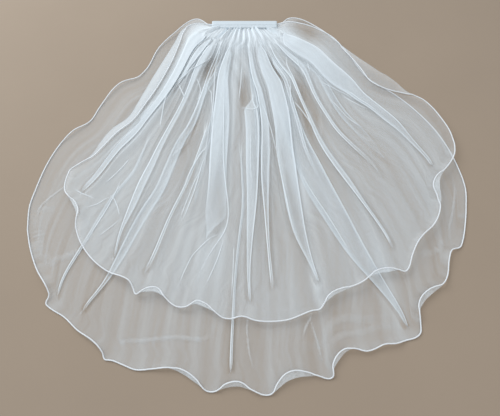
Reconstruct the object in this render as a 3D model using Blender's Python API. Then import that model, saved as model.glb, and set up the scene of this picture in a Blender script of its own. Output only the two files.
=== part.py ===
"""Two-tier tulle veil gathered onto a hair comb, laid out flat on a table.

All sizes are metres once multiplied by MM. The table is z = 0, the satin band runs along X over
the origin and the hem points to -Y. Each tier is one wall of cloth: a fan of columns from the
band to the hem, pleated by the rows of its fold table, with a narrow border strip that carries
the waves and the rolled-up places of its edge. A satin cord is sewn all round each tier.
"""
import math
from collections import namedtuple

import bmesh
import bpy
import numpy as np

MM = 0.001

# Walls and gaps
WALL = 1.0 * MM             # thickness of the cloth walls
SEAM_GAP = 0.3 * MM         # free space left between two sewn pieces
CORD_RADIUS = 1.1 * MM      # satin cord sewn to the edges
TWIST_ROOM = 0.25 * MM      # more free space at the cord, used up where its edge turns upwards
EDGE_CLEARANCE = 0.65 * MM  # the cord's middle stays this far above the cloth's middle

# Satin band, a ribbon turned over the gathered edge
BAND_LENGTH = 108.0 * MM
BAND_DEPTH = 15.0 * MM
BAND_TOP = 12.4 * MM
BAND_FOOT = 0.6 * MM        # lower end of the ribbon behind the comb
BAND_CORNER = 2.0 * MM
BAND_CORNER_STEPS = 4

# Comb under the gathers
COMB_LENGTH = 100.0 * MM
COMB_SPINE_DEPTH = 7.0 * MM
COMB_THICKNESS = 2.6 * MM
COMB_TEETH = 20
TOOTH_LENGTH = 38.0 * MM
TOOTH_WIDTH = 2.4 * MM
TOOTH_TIP_WIDTH = 0.9 * MM

# The gathered edge lies further forward in the middle of the band than at its ends
GATHER_ARCH = 6.0 * MM
GATHER_ARCH_POWER = 8

# Border strip along the edges of a tier
STRIP_WIDTH = 10.0 * MM
STRIP_WIDTH_AT_BAND = 3.0 * MM
STRIP_WIDENS_TO = 0.15      # fraction of the side where the strip has its full width
ROLL_HEIGHT = 7.0 * MM      # height of a rolled-up edge above its cloth
ROLL_BACK = 0.3             # share of the curl by which the edge leans back over the cloth
ROLL_FULL_AT = 8.0 * MM     # an edge that curls back this far is shaped as a full roll
NORMAL_SMOOTHING = 38.0 * MM
SIDE_BLEND = 3.0            # how fast the shape of a side fades towards the middle
SIDE_BLEND_AT_BAND = 16.0
SIDE_BLEND_SETTLES = 0.3    # fraction down the cloth where SIDE_BLEND is reached

# Rows down the cloth, as fractions of the way from the band to the hem
ROWS = (0.0, 0.022, 0.05, 0.09, 0.145, 0.21, 0.29, 0.38, 0.47, 0.56, 0.65, 0.74, 0.83, 0.92, 1.0)
PLAIN_SPACING = 19.0 * MM   # widest step between two columns of unfolded cloth at mid length

# Pleats
FOLD_MARGIN = 8.0 * MM      # cloth on each side of a pleat that comes back down
CREASE_RUN = 1.6 * MM       # room across that the steep side of a crease takes
PRESSED_FROM = 6.0 * MM     # pleats narrower than this are plain ridges
EVEN_UNTIL = 0.16           # columns stand evenly at the band and have found their place here
CALM_ENDS = 0.07            # the gathers are lower in this share of the width at each end
FOLD_SHARE = 0.4            # a pleat takes at most this share of the way to its neighbour
END_SHARE = 0.5             # how far a pleat is closed one row before and after it
GATHER_COLUMNS = 4          # columns in one small gather at the band
GATHER_SLOPE = 1.0          # the gathers' sides are no steeper than this

Edge = namedtuple("Edge", "across down lift curl")
Fold = namedtuple("Fold", "at_band at_middle at_hem first last wide_first wide_last rise turn")
Height = namedtuple("Height", "from_band lower gather upper")

# Outer line of each edge in mm: across from the band's middle, down towards the hem, lift of the
# edge above its cloth, and curl, how far the edge rolls back over the cloth.
LOWER_LEFT = (
    Edge(-51, -2.4, 0.7, 0),
    Edge(-58, -4.5, 0.7, 0),
    Edge(-79, -19, 0.7, 0),
    Edge(-119, 13, 0.7, 0),
    Edge(-139, 38, 0.7, 0),
    Edge(-159, 89, 0.7, 0),
    Edge(-168, 102, 1.5, 0),
    Edge(-193, 114, 3.0, 0),
    Edge(-223, 162, 0.7, 0),
    Edge(-234, 188, 0.7, 0),
    Edge(-256, 206, 3.0, 0),
    Edge(-272, 228, 0.7, 0),
    Edge(-283, 255, 0.7, 0),
    Edge(-294, 305, 0.7, 0),
    Edge(-297, 327, 0.7, 0),
    Edge(-293, 364, 0.7, 0),
)
LOWER_HEM = (
    Edge(-293, 364, 0.7, 0),
    Edge(-280, 398, 0.7, 0),
    Edge(-248, 447, 5.0, 0),
    Edge(-248, 466, 0.7, 0),
    Edge(-176, 516, 4.0, 2),
    Edge(-167, 531, 0.7, 0),
    Edge(-130, 542, 0.7, 0),
    Edge(-94, 539, 3.5, 0),
    Edge(-69, 543, 5.0, 2),
    Edge(-52, 555, 4.0, 3),
    Edge(-38, 568, 0.7, 0),
    Edge(-9, 557, 6.0, 5),
    Edge(12, 564, 3.0, 1),
    Edge(29, 571, 0.7, 0),
    Edge(53, 547, 8.0, 8),
    Edge(72, 546, 6.0, 4),
    Edge(104, 554, 0.7, 0),
    Edge(115, 525, 6.0, 3),
    Edge(126, 520, 5.0, 1),
    Edge(150, 522, 2.9, 0),
    Edge(182, 509, 3.5, 0),
    Edge(215, 503, 0.7, 0),
    Edge(226, 459, 6.0, 4),
    Edge(243, 446, 7.0, 5),
    Edge(261, 434, 3.9, 0),
    Edge(272, 400, 3.0, 0),
    Edge(291, 388, 0.7, 0),
    Edge(308, 337, 0.7, 0),
)
LOWER_RIGHT = (
    Edge(51, -2.4, 0.7, 0),
    Edge(58, -4.5, 0.7, 0),
    Edge(74, -20, 0.7, 0),
    Edge(129, 3, 0.7, 0),
    Edge(157, 33, 0.7, 0),
    Edge(204, 112, 0.7, 0),
    Edge(231, 133, 0.7, 0),
    Edge(273, 180, 0.7, 0),
    Edge(286, 203, 2.5, 0),
    Edge(310, 268, 0.7, 0),
    Edge(314, 301, 0.7, 0),
    Edge(308, 337, 0.7, 0),
)
UPPER_LEFT = (
    Edge(-51, -2.4, 0.7, 0),
    Edge(-91, 3, 1.0, 0),
    Edge(-98, 12, 2.0, 3),
    Edge(-117, 79, 6.0, 12),
    Edge(-132, 119, 6.0, 14),
    Edge(-150, 157, 6.0, 12),
    Edge(-169, 192, 5.0, 4),
    Edge(-188, 211, 5.0, 6),
    Edge(-216, 250, 4.0, 4),
    Edge(-248, 276, 1.0, 0),
)
UPPER_HEM = (
    Edge(-248, 276, 1.0, 0),
    Edge(-247, 312, 3.0, 0),
    Edge(-225, 338, 5.0, 0),
    Edge(-222, 372, 1.0, 0),
    Edge(-185, 420, 1.5, 0),
    Edge(-143, 439, 3.2, 0),
    Edge(-135, 455, 0.7, 0),
    Edge(-115, 447, 6.0, 4),
    Edge(-84, 469, 0.7, 0),
    Edge(-52, 463, 4.0, 3),
    Edge(-23, 484, 0.7, 0),
    Edge(-2, 481, 1.9, 0),
    Edge(16, 487, 0.7, 0),
    Edge(47, 488, 0.7, 0),
    Edge(96, 473, 0.8, 0),
    Edge(110, 454, 4.6, 0),
    Edge(120, 449, 6.0, 3),
    Edge(144, 444, 3.0, 0),
    Edge(170, 425, 4.8, 1),
    Edge(184, 421, 6.0, 3),
    Edge(209, 425, 0.7, 0),
    Edge(226, 391, 4.5, 0),
    Edge(265, 346, 2.0, 0),
    Edge(268, 330, 4.0, 2),
    Edge(266, 300, 6.0, 5),
    Edge(298, 261, 2.0, 0),
    Edge(309, 231, 1.0, 0),
)
UPPER_RIGHT = (
    Edge(51, -2.4, 0.7, 0),
    Edge(73, -6, 0.7, 0),
    Edge(100, 1, 0.7, 0),
    Edge(139, 23, 0.7, 0),
    Edge(166, 57, 1.5, 0),
    Edge(193, 104, 4.0, 5),
    Edge(228, 136, 6.0, 10),
    Edge(261, 146, 3.0, 4),
    Edge(285, 167, 0.7, 0),
    Edge(298, 190, 0.7, 0),
    Edge(309, 231, 1.0, 0),
)

# Pleats from left to right. Places are fractions across the cloth, first and last are fractions
# down it between which the pleat is closed, widths and rise are mm. turn is the side that the
# visible crease faces: -1 left, 1 right. Lines narrower than PRESSED_FROM are ridges.
LOWER_FOLDS = (
    Fold(0.07, 0.080, 0.075, 0.40, 0.75, 8, 10, 4.8, -1),
    Fold(0.16, 0.165, 0.135, 0.60, 0.97, 4, 4, 3.5, -1),
    Fold(0.27, 0.270, 0.195, 0.34, 0.90, 12, 20, 4.8, -1),
    Fold(0.37, 0.360, 0.345, 0.22, 0.55, 10, 12, 4.8, 1),
    Fold(0.46, 0.470, 0.448, 0.45, 0.98, 4, 4, 3.5, -1),
    Fold(0.55, 0.540, 0.530, 0.22, 0.55, 12, 9, 4.8, 1),
    Fold(0.64, 0.615, 0.590, 0.50, 0.96, 4, 4, 3.5, -1),
    Fold(0.76, 0.695, 0.755, 0.55, 0.90, 12, 15, 4.8, -1),
    Fold(0.90, 0.870, 0.880, 0.22, 0.60, 9, 9, 4.8, 1),
)
UPPER_FOLDS = (
    Fold(0.12, 0.070, 0.060, 0.30, 0.80, 24, 18, 6.0, -1),
    Fold(0.20, 0.165, 0.195, 0.36, 0.84, 9, 11, 5.0, -1),
    Fold(0.26, 0.295, 0.272, 0.50, 0.95, 4, 4, 3.6, 1),
    Fold(0.29, 0.320, 0.292, 0.55, 0.90, 4, 4, 3.0, -1),
    Fold(0.38, 0.395, 0.400, 0.17, 0.74, 34, 24, 6.0, -1),
    Fold(0.48, 0.465, 0.460, 0.60, 0.93, 7, 8, 4.4, 1),
    Fold(0.54, 0.510, 0.497, 0.60, 0.90, 4, 4, 3.0, -1),
    Fold(0.60, 0.555, 0.560, 0.60, 0.88, 4, 4, 3.0, 1),
    Fold(0.66, 0.620, 0.610, 0.22, 0.70, 12, 12, 5.0, 1),
    Fold(0.74, 0.700, 0.718, 0.17, 0.96, 5, 5, 4.4, -1),
    Fold(0.80, 0.765, 0.790, 0.17, 0.75, 5, 5, 4.0, 1),
    Fold(0.88, 0.895, 0.905, 0.17, 0.85, 28, 8, 6.0, 1),
)

# Heights in mm against the distance from the band: the lower tier's cloth, how high the gathers
# stand on either tier, and the upper tier's cloth.
HEIGHTS = (
    Height(0, 3.9, 1.8, 8.0),
    Height(20, 4.0, 4.4, 10.6),
    Height(45, 4.0, 5.6, 12.0),
    Height(80, 1.2, 5.6, 9.6),
    Height(150, 0.5, 3.4, 7.2),
    Height(300, 0.5, 1.5, 7.0),
    Height(480, 0.5, 0.5, 7.0),
)
OVERHANG_START = 8.0 * MM   # the upper tier stays level this far past the lower tier's edge
OVERHANG_END = 34.0 * MM    # and has come down to OVERHANG_HEIGHT here
OVERHANG_HEIGHT = 1.2 * MM

# Colours
TULLE_COLOUR = (0.80, 0.84, 0.87)
SATIN_COLOUR = (0.86, 0.86, 0.84)
COMB_COLOUR = (0.82, 0.83, 0.82)


def clear_scene():
    """Remove every object of the open scene."""
    for obj in list(bpy.data.objects):
        bpy.data.objects.remove(obj, do_unlink=True)


def make_material(name, colour, roughness):
    """A plain material with one colour."""
    material = bpy.data.materials.new(name)
    material.use_nodes = True
    shader = material.node_tree.nodes["Principled BSDF"]
    shader.inputs["Base Color"].default_value = (*colour, 1.0)
    shader.inputs["Roughness"].default_value = roughness
    shader.inputs["Metallic"].default_value = 0.0
    return material


def add_object(name, verts, faces, material, collection, smooth=True):
    """Make one named mesh object."""
    mesh = bpy.data.meshes.new(name)
    mesh.from_pydata([tuple(v) for v in verts], [], [tuple(f) for f in faces])
    bm = bmesh.new()
    bm.from_mesh(mesh)
    bmesh.ops.triangulate(bm, faces=bm.faces[:])
    bmesh.ops.recalc_face_normals(bm, faces=bm.faces[:])
    bm.to_mesh(mesh)
    bm.free()
    mesh.materials.append(material)
    for polygon in mesh.polygons:
        polygon.use_smooth = smooth
    obj = bpy.data.objects.new(name, mesh)
    collection.objects.link(obj)
    return obj


def ease(value, start, end):
    """Smooth step from 0 at start to 1 at end."""
    x = np.clip((value - start) / (end - start), 0.0, 1.0)
    return x * x * (3.0 - 2.0 * x)


def edge_line(rows, count):
    """Evenly spaced points on a smooth line through the rows of an edge table."""
    p = np.array(rows, float) * MM
    p[:, 1] *= -1.0
    step = np.hypot(*np.diff(p[:, :2], axis=0).T)
    slope = np.diff(p, axis=0) / step[:, None]
    tangent = np.empty_like(p)
    tangent[0] = slope[0]
    tangent[-1] = slope[-1]
    for i in range(1, len(p) - 1):
        tangent[i] = (slope[i - 1] * step[i] + slope[i] * step[i - 1]) / (step[i] + step[i - 1])
    fine = []
    for i, length in enumerate(step):
        for f in np.linspace(0.0, 1.0, 12, endpoint=False):
            a = 2 * f ** 3 - 3 * f ** 2 + 1
            b = (f ** 3 - 2 * f ** 2 + f) * length
            c = 3 * f ** 2 - 2 * f ** 3
            d = (f ** 3 - f ** 2) * length
            fine.append(a * p[i] + b * tangent[i] + c * p[i + 1] + d * tangent[i + 1])
    fine.append(p[-1])
    fine = np.array(fine)
    run = np.r_[0.0, np.cumsum(np.hypot(*np.diff(fine[:, :2], axis=0).T))]
    at = np.linspace(0.0, run[-1], count)
    line = np.column_stack([np.interp(at, run, fine[:, k]) for k in range(4)])
    line[:, 2:] = np.maximum(line[:, 2:], 0.0)
    return line


class Outline:
    """The edge of a tier: down the left side, along the hem and up the right side."""

    SIDE_POINTS = 121
    HEM_POINTS = 481

    def __init__(self, left, hem, right):
        left = edge_line(left, self.SIDE_POINTS)
        hem = edge_line(hem, self.HEM_POINTS)
        right = edge_line(right, self.SIDE_POINTS)
        line = np.vstack([left, hem[1:], right[-2::-1]])
        self.line = line
        run = np.r_[0.0, np.cumsum(np.hypot(*np.diff(line[:, :2], axis=0).T))]
        weight = np.exp(-((run[:, None] - run[None, :]) / NORMAL_SMOOTHING) ** 2)
        weight /= weight.sum(axis=1, keepdims=True)
        direction = weight @ np.gradient(line[:, :2], run, axis=0)
        direction /= np.hypot(*direction.T)[:, None]
        self.out = np.column_stack([direction[:, 1], -direction[:, 0]])
        n = self.SIDE_POINTS
        side = np.linspace(0.0, 1.0, n)
        along = np.r_[side, np.ones(self.HEM_POINTS - 2), side[::-1]]
        grow = ease(along, 0.0, STRIP_WIDENS_TO)
        self.width = STRIP_WIDTH_AT_BAND + (STRIP_WIDTH - STRIP_WIDTH_AT_BAND) * grow
        self.inner = line[:, :2] - (self.width - ROLL_BACK * line[:, 3])[:, None] * self.out
        self.parts = {
            "left": (slice(0, n), side),
            "hem": (slice(n - 1, n - 1 + self.HEM_POINTS), np.linspace(0.0, 1.0, self.HEM_POINTS)),
            "right": (slice(len(line) - 1, len(line) - n - 1, -1), side),
        }

    def read(self, part, at, values):
        """Values of the outline at fractions along one of its parts."""
        where, stations = self.parts[part]
        rows = values[where]
        at = np.atleast_1d(at)
        return np.column_stack([np.interp(at, stations, rows[:, k]) for k in range(rows.shape[1])])

    def point(self, s, t):
        """Place on the table of the cloth at s across and t down, inside the border strip."""
        s = np.atleast_1d(np.asarray(s, float))
        side = self.read("left", [t, 0.0, 1.0], self.inner)
        other = self.read("right", [t, 0.0, 1.0], self.inner)
        hem = self.read("hem", s, self.inner)
        top = side[1] + (other[1] - side[1]) * s[:, None]
        top[:, 1] -= GATHER_ARCH * (1 - np.abs(2 * s - 1) ** GATHER_ARCH_POWER)
        flat = (1 - t) * top + t * hem
        bow_left = side[0] - ((1 - t) * side[1] + t * side[2])
        bow_right = other[0] - ((1 - t) * other[1] + t * other[2])
        settled = ease(t, 0.0, SIDE_BLEND_SETTLES)
        power = SIDE_BLEND_AT_BAND + (SIDE_BLEND - SIDE_BLEND_AT_BAND) * settled
        near_left = (1 - s)[:, None] ** power
        near_right = s[:, None] ** power
        return flat + near_left * bow_left + near_right * bow_right

    def scale(self, s, t):
        """Length on the table of one unit across at s and t."""
        step = 0.01
        pair = self.point([max(s - step, 0.0), min(s + step, 1.0)], t)
        return float(np.hypot(*(pair[1] - pair[0])) / (min(s + step, 1.0) - max(s - step, 0.0)))


def from_band(xy):
    """Distance from the band's footprint."""
    dx = np.maximum(np.abs(xy[..., 0]) - BAND_LENGTH / 2, 0.0)
    dy = np.maximum(-BAND_DEPTH / 2 - xy[..., 1], 0.0)
    return np.hypot(dx, dy)


def height(column, xy):
    """One column of the HEIGHTS table at places on the table."""
    knots = [row.from_band * MM for row in HEIGHTS]
    values = [getattr(row, column) * MM for row in HEIGHTS]
    return np.interp(from_band(xy), knots, values)


def distance_outside(xy, outline):
    """How far places lie outside an outline, 0 inside it."""
    a = outline.line[:, :2]
    b = np.roll(a, -1, axis=0)
    result = np.zeros(len(xy))
    for i, p in enumerate(xy):
        crosses = (a[:, 1] > p[1]) != (b[:, 1] > p[1])
        rise = np.where(crosses, b[:, 1] - a[:, 1], 1.0)
        at_x = a[:, 0] + (p[1] - a[:, 1]) * (b[:, 0] - a[:, 0]) / rise
        inside = np.count_nonzero(crosses & (p[0] < at_x)) % 2 == 1
        if not inside:
            result[i] = np.hypot(*(a - p).T).min()
    return result


def fold_place(fold, t):
    """Fraction across where the pleat's middle lies at t down the cloth."""
    near = (1 - t) * (1 - 2 * t)
    middle = 4 * t * (1 - t)
    far = t * (2 * t - 1)
    return near * fold.at_band + middle * fold.at_middle + far * fold.at_hem


def is_pressed(fold):
    """True for a broad pleat with a crisp crease on one side, false for a narrow ridge."""
    return max(fold.wide_first, fold.wide_last) * MM >= PRESSED_FROM


def fold_section(fold, half, width, share):
    """Offsets across and heights of the columns of one pleat in a row, both in metres."""
    lap = width / 2
    if is_pressed(fold):
        closed = np.array([-half, -lap - CREASE_RUN, -lap, 0.0, lap, half])
        up = np.array([0.0, 0.0, 1.0, 0.8, 0.6, 0.0])
    else:
        closed = np.array([-half, -lap, 0.0, lap, half])
        up = np.array([0.0, 0.45, 1.0, 0.45, 0.0])
    if fold.turn > 0:
        closed = -closed[::-1]
        up = up[::-1]
    even = np.linspace(-half, half, len(closed))
    return even + (closed - even) * share, up * share * fold.rise * MM


def plain_counts(outline, folds):
    """How many unfolded columns stand before, between and after the pleats."""
    places = [0.0] + [fold_place(f, 0.5) for f in folds] + [1.0]
    counts = []
    for a, b in zip(places, places[1:]):
        length = (b - a) * outline.scale((a + b) / 2, 0.5)
        counts.append(max(1, round(length / PLAIN_SPACING)))
    return counts


def closing(fold, row):
    """How far a pleat is closed in a row, 0 to 1; it opens over one row at each end."""
    def inside(k):
        return 0 < k < len(ROWS) - 1 and fold.first <= ROWS[k] <= fold.last

    if inside(row):
        return 1.0
    return END_SHARE if inside(row - 1) or inside(row + 1) else 0.0


def section(outline, folds, counts, row):
    """Fraction across, pleat height and looseness of every column in a row."""
    t = ROWS[row]
    places = [fold_place(f, t) for f in folds]
    ends = [0.0] + places + [1.0]
    s_values = []
    rises = []
    looseness = []
    reach = []
    for i, fold in enumerate(folds):
        scale = outline.scale(places[i], t)
        room = FOLD_SHARE * min(places[i] - ends[i], ends[i + 2] - places[i]) * scale
        down = float(np.clip((t - fold.first) / (fold.last - fold.first), 0.0, 1.0))
        width = (fold.wide_first + (fold.wide_last - fold.wide_first) * down) * MM
        half = min(width / 2 + FOLD_MARGIN, room)
        share = closing(fold, row)
        width = min(width, 1.4 * half)
        offset, rise = fold_section(fold, half, width, share)
        reach.append((places[i] - half / scale, places[i] + half / scale, offset / scale, rise, share))
    edges = [0.0] + [v for r in reach for v in r[:2]] + [1.0]
    for i, count in enumerate(counts):
        a, b = edges[2 * i], edges[2 * i + 1]
        if i == 0:
            at = np.linspace(a, b, count + 1)[:-1] if count > 1 else np.array([a])
        elif i == len(folds):
            at = np.linspace(a, b, count + 1)[1:] if count > 1 else np.array([b])
        else:
            at = a + (b - a) * (np.arange(count) + 0.5) / count
        s_values.extend(at)
        rises.extend([0.0] * len(at))
        looseness.extend([1.0] * len(at))
        if i < len(folds):
            offset, rise, share = reach[i][2:]
            s_values.extend(places[i] + offset)
            rises.extend(rise)
            looseness.extend([1.0 - share] * len(offset))
    even = np.linspace(0.0, 1.0, len(s_values))
    settled = float(ease(t, 0.0, EVEN_UNTIL))
    s_values = even + (np.array(s_values) - even) * settled
    return s_values, np.array(rises), np.array(looseness)


def gather_wave(count, seed):
    """Uneven height of the small gathers, 0 to 1, for each column."""
    k = np.arange(count)
    wave = 0.5 - 0.5 * np.cos(2 * math.pi * k / GATHER_COLUMNS)
    group = k // GATHER_COLUMNS
    uneven = 0.72 + 0.28 * np.sin(2.3 * group + seed)
    return wave * uneven


def tier_surface(outline, folds, base, seed):
    """Middle surface of a tier: points, faces, the loop of border points and its outward line."""
    counts = plain_counts(outline, folds)
    grid = []
    for row, t in enumerate(ROWS):
        s, rise, loose = section(outline, folds, counts, row)
        xy = outline.point(s, t)
        wave = gather_wave(len(s), seed) * loose * ease(np.minimum(s, 1 - s), 0.0, CALM_ENDS)
        hem = outline.read("hem", np.clip(s, 0.0, 1.0), outline.line[:, 2:3])[:, 0]
        gap = np.hypot(*np.diff(xy, axis=0).T)
        near = np.minimum(np.r_[gap[0], gap], np.r_[gap, gap[-1]])
        stand = np.minimum(height("gather", xy), 2 * GATHER_SLOPE * near)
        z = base(xy) + rise + wave * stand
        z += 0.3 * np.maximum(hem - 1.0 * MM, 0.0) * ease(t, 0.7, 1.0)
        grid.append(np.column_stack([xy, z]))
    grid = np.array(grid)
    rows, columns = grid.shape[:2]
    last_s = section(outline, folds, counts, len(ROWS) - 1)[0]
    index = np.arange(rows * columns).reshape(rows, columns)
    faces = []
    for r in range(rows - 1):
        for c in range(columns - 1):
            faces.append((index[r, c], index[r + 1, c], index[r + 1, c + 1], index[r, c + 1]))
    border = list(index[:, 0]) + list(index[-1, 1:]) + list(index[-2::-1, -1])
    data = np.column_stack([outline.line[:, 2:4], outline.out, outline.width])
    values = np.vstack([
        outline.read("left", ROWS, data),
        outline.read("hem", last_s[1:], data),
        outline.read("right", ROWS[-2::-1], data),
    ])
    points = grid.reshape(-1, 3)
    rings = [border]
    extra = []
    start = points[border]
    lift, curl, width = values[:, 0], values[:, 1], values[:, 4]
    out = values[:, 2:4] / np.hypot(*values[:, 2:4].T)[:, None]
    roll = ease(curl, 0.0, ROLL_FULL_AT)
    lift = np.maximum(lift, EDGE_CLEARANCE)
    reach_out = (
        (0.35 + 0.40 * roll) * width,
        (0.70 + 0.30 * roll) * width,
        width - ROLL_BACK * curl,
    )
    raise_up = (
        0.25 * lift * (1 - roll) + 0.12 * roll * ROLL_HEIGHT,
        0.60 * lift * (1 - roll) + 0.50 * roll * ROLL_HEIGHT,
        lift * (1 - roll) + roll * ROLL_HEIGHT,
    )
    for reach, up in zip(reach_out, raise_up):
        first = len(points) + len(extra)
        rings.append(list(range(first, first + len(border))))
        move = np.column_stack([out * reach[:, None], up])
        extra.extend(start + move)
    points = np.vstack([points, np.array(extra)])
    for a, b in zip(rings, rings[1:]):
        for i in range(len(border) - 1):
            faces.append((a[i], b[i], b[i + 1], a[i + 1]))
    edge = points[rings[-1]]
    away = edge - points[rings[-2]]
    away /= np.linalg.norm(away, axis=1)[:, None]
    top = list(index[0, :])
    loop = [r[0] for r in rings[::-1]][:-1] + top + [r[-1] for r in rings][1:] + rings[-1][-2:0:-1]
    return points, faces, loop, edge, away


def thicken(points, faces, loop):
    """Closed wall of thickness WALL around a middle surface."""
    normals = np.zeros_like(points)
    for face in faces:
        p = points[list(face)]
        for i in range(len(face)):
            a = p[(i + 1) % len(face)] - p[i]
            b = p[i - 1] - p[i]
            cross = np.cross(a, b)
            size = np.linalg.norm(cross)
            if size > 0.0:
                spread = np.linalg.norm(a) * np.linalg.norm(b)
                angle = math.asin(min(size / spread, 1.0))
                normals[face[i]] += cross / size * angle
    normals /= np.linalg.norm(normals, axis=1)[:, None]
    top = points + normals * WALL / 2
    bottom = points - normals * WALL / 2
    n = len(points)
    solid = [tuple(f) for f in faces] + [tuple(i + n for i in reversed(f)) for f in faces]
    for a, b in zip(loop, loop[1:] + loop[:1]):
        solid.append((a, b, b + n, a + n))
    return np.vstack([top, bottom]), solid


def add_cord(name, edge, away, material, collection):
    """Round cord along an edge, just clear of the wall."""
    path = edge + away * (SEAM_GAP + TWIST_ROOM + CORD_RADIUS)
    path[:, 2] = np.maximum(path[:, 2], CORD_RADIUS + 0.03 * MM)
    curve = bpy.data.curves.new(name, "CURVE")
    curve.dimensions = "3D"
    curve.bevel_depth = CORD_RADIUS
    curve.bevel_resolution = 1
    curve.use_fill_caps = True
    spline = curve.splines.new("POLY")
    spline.points.add(len(path) - 1)
    for point, place in zip(spline.points, path):
        point.co = (*place, 1.0)
    curve.materials.append(material)
    obj = bpy.data.objects.new(name, curve)
    collection.objects.link(obj)
    return obj


def add_band(material, collection):
    """Satin ribbon turned over the gathered edge: a top leaf and a back."""
    front = -BAND_DEPTH / 2
    back = BAND_DEPTH / 2
    outer = [(front, BAND_TOP)]
    inner = [(front, BAND_TOP - WALL)]
    for i in range(BAND_CORNER_STEPS + 1):
        angle = math.pi / 2 * (1 - i / BAND_CORNER_STEPS)
        y = back - BAND_CORNER + BAND_CORNER * math.cos(angle)
        z = BAND_TOP - BAND_CORNER + BAND_CORNER * math.sin(angle)
        outer.append((y, z))
        small = BAND_CORNER - WALL
        y = back - BAND_CORNER + small * math.cos(angle)
        z = BAND_TOP - BAND_CORNER + small * math.sin(angle)
        inner.append((y, z))
    outer.append((back, BAND_FOOT))
    inner.append((back - WALL, BAND_FOOT))
    profile = outer + inner[::-1]
    n = len(profile)
    verts = []
    for x in (-BAND_LENGTH / 2, BAND_LENGTH / 2):
        verts.extend((x, y, z) for y, z in profile)
    faces = [(i, (i + 1) % n, (i + 1) % n + n, i + n) for i in range(n)]
    half = len(outer)
    for side in (0, n):
        for i in range(half - 1):
            faces.append((side + i, side + i + 1, side + n - 2 - i, side + n - 1 - i))
    return add_object("satin_band", verts, faces, material, collection, smooth=False)


def add_comb(material, collection):
    """Flat hair comb: a spine with a row of tapered teeth towards the hem."""
    back = COMB_SPINE_DEPTH / 2
    front = -COMB_SPINE_DEPTH / 2
    pitch = (COMB_LENGTH - TOOTH_WIDTH) / (COMB_TEETH - 1)
    outline = [(COMB_LENGTH / 2, back), (-COMB_LENGTH / 2, back)]
    for k in range(COMB_TEETH):
        middle = -COMB_LENGTH / 2 + TOOTH_WIDTH / 2 + k * pitch
        outline.append((middle - TOOTH_WIDTH / 2, front))
        outline.append((middle - TOOTH_TIP_WIDTH / 2, front - TOOTH_LENGTH))
        outline.append((middle + TOOTH_TIP_WIDTH / 2, front - TOOTH_LENGTH))
        outline.append((middle + TOOTH_WIDTH / 2, front))
    n = len(outline)
    verts = [(x, y, 0.0) for x, y in outline] + [(x, y, COMB_THICKNESS) for x, y in outline]
    faces = [tuple(range(n)), tuple(range(2 * n - 1, n - 1, -1))]
    faces += [(i, i + n, (i + 1) % n + n, (i + 1) % n) for i in range(n)]
    return add_object("hair_comb", verts, faces, material, collection, smooth=False)


def main():
    """Build the veil."""
    clear_scene()
    collection = bpy.data.collections.new("two_tier_veil")
    bpy.context.scene.collection.children.link(collection)
    tulle = make_material("tulle", TULLE_COLOUR, 0.55)
    satin = make_material("satin", SATIN_COLOUR, 0.35)
    plastic = make_material("comb_plastic", COMB_COLOUR, 0.30)

    lower = Outline(LOWER_LEFT, LOWER_HEM, LOWER_RIGHT)
    upper = Outline(UPPER_LEFT, UPPER_HEM, UPPER_RIGHT)

    def lower_base(xy):
        return height("lower", xy)

    def upper_base(xy):
        level = height("upper", xy)
        outside = distance_outside(xy, lower)
        return level + (OVERHANG_HEIGHT - level) * ease(outside, OVERHANG_START, OVERHANG_END)

    for name, outline, folds, base, seed in (
        ("lower", lower, LOWER_FOLDS, lower_base, 0.4),
        ("upper", upper, UPPER_FOLDS, upper_base, 2.1),
    ):
        points, faces, loop, edge, away = tier_surface(outline, folds, base, seed)
        verts, solid = thicken(points, faces, loop)
        add_object(name + "_tier", verts, solid, tulle, collection)
        add_cord(name + "_edging", edge, away, satin, collection)
    add_band(satin, collection)
    add_comb(plastic, collection)


main()
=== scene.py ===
"""Looks of the two-tier tulle veil: two gathered tiers laid out flat, edged with satin cord.

Sizes are metres once multiplied by MM. The table is z = 0, the satin band runs along X over the
origin and the hem points to -Y. A place on a tier is s, the fraction across it from its left edge,
and t, the fraction down it from the band to the hem.
"""
import math
from collections import namedtuple

import bpy
import numpy as np
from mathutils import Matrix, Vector


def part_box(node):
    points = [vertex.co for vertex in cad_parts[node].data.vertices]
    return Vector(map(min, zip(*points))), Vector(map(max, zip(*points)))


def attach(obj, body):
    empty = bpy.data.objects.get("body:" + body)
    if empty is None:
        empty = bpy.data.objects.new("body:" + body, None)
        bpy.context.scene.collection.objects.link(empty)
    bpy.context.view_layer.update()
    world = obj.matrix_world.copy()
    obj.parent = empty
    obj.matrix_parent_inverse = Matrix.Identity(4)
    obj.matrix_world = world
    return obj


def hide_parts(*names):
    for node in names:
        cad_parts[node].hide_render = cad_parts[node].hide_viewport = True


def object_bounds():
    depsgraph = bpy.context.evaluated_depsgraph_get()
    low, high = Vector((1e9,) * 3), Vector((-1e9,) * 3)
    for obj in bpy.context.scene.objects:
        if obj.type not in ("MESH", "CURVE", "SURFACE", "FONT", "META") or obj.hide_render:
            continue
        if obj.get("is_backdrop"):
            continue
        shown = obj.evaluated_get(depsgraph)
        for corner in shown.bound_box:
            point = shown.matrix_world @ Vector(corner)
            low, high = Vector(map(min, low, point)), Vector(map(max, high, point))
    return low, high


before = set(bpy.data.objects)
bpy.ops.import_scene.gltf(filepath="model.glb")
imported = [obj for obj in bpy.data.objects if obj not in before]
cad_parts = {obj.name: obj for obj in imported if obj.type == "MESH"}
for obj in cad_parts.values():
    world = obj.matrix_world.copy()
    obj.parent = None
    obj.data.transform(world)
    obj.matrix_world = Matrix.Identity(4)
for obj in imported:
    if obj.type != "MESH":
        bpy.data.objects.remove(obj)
CAD_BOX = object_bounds()

bl_info = {
    "name": "Two-tier tulle veil",
    "version": (1, 0, 0),
    "blender": (4, 5, 0),
    "location": "View3D > Sidebar > Veil",
    "description": "Dresses the packed veil in tulle, satin and stitching",
    "category": "Object",
}

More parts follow.
